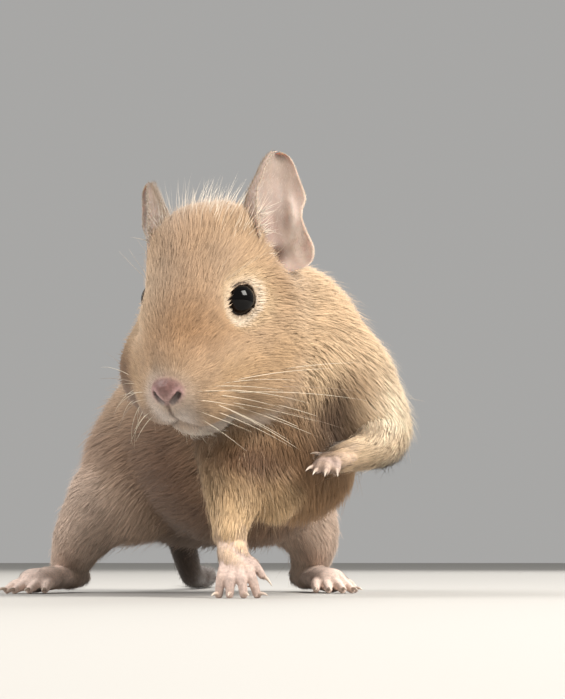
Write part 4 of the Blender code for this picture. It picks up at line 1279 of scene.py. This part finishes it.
# ------------------------------------------------------------------ claws and whiskers
def tube_arrays(path, radii, sides, up):
    """Rings round a path of points and the faces of one closed tube with pointed ends."""
    ways = unit(np.gradient(path, axis=0))
    side = unit(np.cross(ways, np.asarray(up, float)))
    lift = np.cross(side, ways)
    turn = np.arange(sides) * 2.0 * math.pi / sides
    ring = side[:, None] * np.cos(turn)[None, :, None] + lift[:, None] * np.sin(turn)[None, :, None]
    points = path[:, None] + ring * np.asarray(radii)[:, None, None]
    count = len(path)
    j = np.arange(sides)
    k = (j + 1) % sides
    start = np.arange(count - 1)[:, None] * sides
    a, b, c, d = start + j, start + k, start + sides + k, start + sides + j
    first, last = np.full(sides, count * sides), np.full(sides, count * sides + 1)
    end = (count - 1) * sides
    wall = np.stack((a, b, c, a, c, d), -1).reshape(-1, 3)
    caps = np.stack((first, k, j, last, end + j, end + k), -1).reshape(-1, 3)
    return np.concatenate((points.reshape(-1, 3), path[:1], path[-1:])), np.concatenate((wall, caps))


def join_arrays(parts):
    starts = np.cumsum([0] + [len(points) for points, _ in parts])
    return (np.concatenate([points for points, _ in parts]),
            np.concatenate([faces + start for (_, faces), start in zip(parts, starts)]))


CLAW_ROWS, CLAW_SIDES = 9, 10
CLAW_REACH, CLAW_SET, CLAW_RADIUS = 2.3, 0.55, 0.52
CLAW_ROOT_TONE, CLAW_TIP_TONE = (0.50, 0.36, 0.29), (0.68, 0.58, 0.48)
CLAW_SETS = (("claw_fore_left", LEFT_FINGERS, FINGER_RADII[-1]),
             ("claw_fore_right", RIGHT_FINGERS, FINGER_RADII[-1]),
             ("claw_hind_left", LEFT_TOES, TOE_RADII[-1]),
             ("claw_hind_right", RIGHT_TOES, TOE_RADII[-1]))
PLANTED_BELOW = 2.0


def build_claws():
    parts, names, tones = [], [], []
    t = np.linspace(0.0, 1.0, CLAW_ROWS)
    sizes = CLAW_RADIUS * (1.0 - t) ** 0.7 * (1.0 - 0.15 * t) + 0.02
    arch = np.array((0, 0, 1.0)) * (0.35 * np.sin(t * 2.2) - 0.62 * t ** 2)[:, None]
    tone = mixed(np.array(CLAW_ROOT_TONE), CLAW_TIP_TONE, t)
    for stem, paths, radius in CLAW_SETS:
        for number, path in enumerate(paths, 1):
            heading = path[-1] - path[0]
            if path[-1][2] < PLANTED_BELOW:
                heading[2] = 0.0
            heading = unit(heading)
            begin = path[-1] + heading * (radius - CLAW_SET) + np.array((0, 0, 0.12))
            spots = begin + heading * ((CLAW_REACH + CLAW_SET) * t)[:, None] + arch
            spots[:, 2] = np.maximum(spots[:, 2], 0.12)
            parts.append(tube_arrays(spots, sizes, CLAW_SIDES, (0, 0, 1)))
            names.append("%s_%d" % (stem, number))
            tones.append(np.concatenate((np.repeat(tone, CLAW_SIDES, 0), tone[:1], tone[-1:])))
    item = make_mesh("claws", *join_arrays(parts))
    paint(item, np.concatenate(tones))
    item.data.materials.append(painted_material("claw_horn", (2500.0, 2.0), (0.0, 1.0, 0.8, 1.2),
                                                {"Roughness": 0.32}))
    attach(item, "root")
    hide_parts(*names)


WHISKER_SIDES, WHISKER_ROWS = 5, 12
WHISKER_SEED = 31
WHISKER_LINES, WHISKERS_A_LINE = 4, 5
DARK_WHISKER_SHARE = 0.25
FINE_WHISKER = 0.035
CREAM, DARK_WHISKER, BROW_WHISKER = (0.86, 0.76, 0.60), (0.34, 0.25, 0.18), (0.62, 0.52, 0.40)


def build_whiskers():
    """Long bristles in rows on the upper lips, a few over the eyes and under the chin."""
    rng = np.random.default_rng(WHISKER_SEED)
    parts, tints = [], []

    def root_at(left, forward, up):
        return settle(on_head(left, forward, up)[None], skin_distance, 6, 1.5)[0]

    def add(root, way, bend, length, thick, tone):
        t = np.linspace(0.0, 1.0, WHISKER_ROWS)
        spots = root + way * (length * t)[:, None] + bend * (length * 0.5 * t ** 2)[:, None]
        spots[:, 2] = np.maximum(spots[:, 2], 0.3)
        parts.append(tube_arrays(spots, thick * (1.0 - t) ** 0.8 + 0.012, WHISKER_SIDES, (0.1, 0.2, 1.0)))
        tints.append(np.broadcast_to(np.array(tone), (len(parts[-1][0]), 3)))

    for sign in SIDES.values():
        for row in range(WHISKER_LINES):
            for column in range(WHISKERS_A_LINE):
                left = 4.6 + 1.35 * column + rng.uniform(-0.3, 0.3)
                forward = 17.2 - 1.9 * column - 0.3 * row + rng.uniform(-0.4, 0.4)
                up = -14.5 - 1.4 * row + rng.uniform(-0.3, 0.3)
                root = root_at(sign * left, forward, up)
                way = head_way(sign * (0.82 - 0.04 * column), -0.34 - 0.10 * column, -0.10 - 0.20 * row)
                way = unit(way + rng.normal(0, 0.06, 3))
                bend = head_way(sign * -0.06, -0.20, -0.34) + rng.normal(0, 0.06, 3)
                length = (11.0 + 5.4 * column) * rng.uniform(0.8, 1.15)
                tint = DARK_WHISKER if rng.random() < DARK_WHISKER_SHARE else CREAM
                add(root - way * 0.3, way, bend, length, rng.uniform(0.05, 0.07), tint)
        for k in range(2):
            root = root_at(sign * (8.2 + 0.7 * k), 2.6 - 1.5 * k, 4.2)
            way = unit(head_way(sign * 0.75, -0.25 - 0.12 * k, 0.55) + rng.normal(0, 0.07, 3))
            bend = head_way(sign * 0.1, -0.35, -0.15)
            add(root - way * 0.3, way, bend, rng.uniform(9.0, 13.0), FINE_WHISKER, BROW_WHISKER)
        for k in range(3):
            root = root_at(sign * (1.2 + 1.1 * k), 12.5 - 2.0 * k, -25.5)
            way = unit(head_way(sign * 0.3, 0.05 - 0.3 * k, -0.9) + rng.normal(0, 0.08, 3))
            add(root - way * 0.2, way, head_way(0, -0.4, 0.0), rng.uniform(3.0, 5.0), FINE_WHISKER, CREAM)
    item = make_mesh("whiskers", *join_arrays(parts))
    paint(item, np.concatenate(tints))
    item.data.materials.append(fur_material("whisker", 0.4))
    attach(item, "root")


# ------------------------------------------------------------------ eyes, skin and what the coat grows from
EYE_SEGMENTS, EYE_RINGS = 48, 32
UNWRAP_ANGLE, UNWRAP_MARGIN = math.radians(66.0), 0.001


def build_eye(side):
    mesh = bmesh.new()
    bmesh.ops.create_uvsphere(mesh, u_segments=EYE_SEGMENTS, v_segments=EYE_RINGS,
                              radius=EYE_RADIUS * MM)
    data = bpy.data.meshes.new("eyeball_" + side)
    mesh.to_mesh(data)
    mesh.free()
    data.shade_smooth()
    item = add_object("eyeball_" + side, data)
    item.location = Vector(to_metres(EYES[side]))
    item.rotation_euler = Vector(LOOK_OUT[side]).to_track_quat("Z", "Y").to_euler()
    data.materials.append(eye_material())
    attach(item, "root")
    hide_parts("eye_" + side)


def unwrap(item):
    """Spreads the skin's own shape flat and gives each face corner's place on that map."""
    bpy.context.view_layer.objects.active = item
    item.select_set(True)
    bpy.ops.object.mode_set(mode="EDIT")
    bpy.ops.mesh.select_all(action="SELECT")
    bpy.ops.uv.smart_project(angle_limit=UNWRAP_ANGLE, island_margin=UNWRAP_MARGIN)
    bpy.ops.object.mode_set(mode="OBJECT")
    item.select_set(False)
    layer = item.data.uv_layers.active
    layer.name = "OFBake"
    flat = np.empty(len(item.data.loops) * 2, np.float32)
    layer.uv.foreach_get("vector", flat)
    return flat.reshape(-1, 4, 2)


def build_skin():
    """The skin mesh, and the field of lengths, widths, densities and ways that the coat grows from."""
    points, faces = surface_nets(*sampled([spaced(*row) for row in SKIN_GRID], skin_distance))
    points = settle(points, skin_distance)
    rows, lie, region = look_at(points)
    head_amount = head_share(points)
    item = make_mesh("skin", points, faces)
    wet = 1.0 - ramp(NOSE_BARE.measure(points, 0.0), -0.6, 0.0)
    for side in SIDES:
        away, off_axis, lid, _ = eye_angles(points, side)
        wet = np.maximum(wet, (away < EYE_RADIUS + 1.0) * (1.0 - ramp(away * (off_axis - lid), 0.1, 0.4)))
    # the skin under the body's coat is painted brighter than under the head's, as painted light in the shade
    # between tufts
    brightness = 0.88 + 0.32 * (1.0 - head_amount)
    paint(item, markings(points, rows[:, 3:]) * brightness[:, None], 1.0 - wet)
    item.data.materials.append(skin_material())
    maps = unwrap(item)
    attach(item, "root")
    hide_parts("head", "nose", "neck", "trunk", "foreleg_left", "foreleg_right",
                "forepaw_left", "forepaw_right", "hindleg_left", "hindleg_right",
                "hindfoot_left", "hindfoot_right", "tail_base", "tail_brush")

    left, forward, up = in_head(points)
    nose_far = nose_distance(points)
    near = np.clip(nose_far / 34.0, 0.0, 1.0)
    jaw_length = 1.2 * ramp(-up, 14.0, 24.0) * ramp(-forward, -8, 4)
    face = (0.8 + 3.9 * near ** 1.2 + jaw_length + 1.6 * ramp(nose_far, 26.0, 40.0), 0.12 + 0.10 * near,
            34.0 - 18.0 * near)
    length, width, density = (own + (value - own) * head_amount for own, value in zip(rows[:, :3].T, face))
    chin = head_amount * ramp(-up, 22.5, 26.0) * ramp(forward, -2.0, 6.0)
    length += 2.2 * chin
    keep = ramp(NOSE_BARE.measure(points, 0.0), -0.1, 0.4)
    for hollow in HOLLOWS:
        bare = ramp(hollow.measure(points, 0.0), 0.4, 1.6)
        keep *= 0.35 + 0.65 * bare
        length *= 0.4 + 0.6 * bare
    for side in SIDES:
        away, off_axis, lid, _ = eye_angles(points, side)
        rim = away * (off_axis - lid)
        keep *= np.where(away < EYE_RADIUS + 1.4, ramp(rim, 0.15, 0.4), 1.0)
        length *= np.where(away < EYE_RADIUS + 4.0, 0.45 + 0.55 * ramp(rim, 0.5, 4.0), 1.0)
    normals = unit(gradient(points, body_distance, 0.3))
    keep *= np.where((normals[:, 2] < -0.6) & (points[:, 2] < 1.2), 0.0, 1.0)
    keep *= 1.0 - bump(chain_distance(points, MOUTH_LINES), 0.5)
    crown = head_amount * ramp(up, 7.0, 12.0) * ramp(-forward, 0.0, 8.0)
    brow = head_amount * ramp(-np.abs(left), -8.0, -3.0) * ramp(forward, -16.0, 0.0)
    return {"points": points, "normals": normals, "lie": lie, "region": region,
            "triangles": np.concatenate((faces[:, (0, 1, 2)], faces[:, (0, 2, 3)])),
            "maps": np.concatenate((maps[:, (0, 1, 2)], maps[:, (0, 2, 3)])),
            "length": length, "width": width, "density": density * keep,
            "depth": -body_distance(points, 0.0) + 1.1 * chin, "base": rows[:, 3:],
            "grizzle": (1.0 - head_amount) * 0.9 + brow * 0.5,
            "stray": 0.36 * crown + 0.04 * (length > 3.5), "crown": crown}


bpy.context.scene.view_settings.view_transform = "Standard"
set_stage()
grow_coat(build_skin())
for side in SIDES:
    build_eye(side)
ear_skin, ear_fur = ear_material(), fur_material("ear_down")
for side in EARS:
    build_ear(side, ear_skin, ear_fur)
build_claws()
build_whiskers()
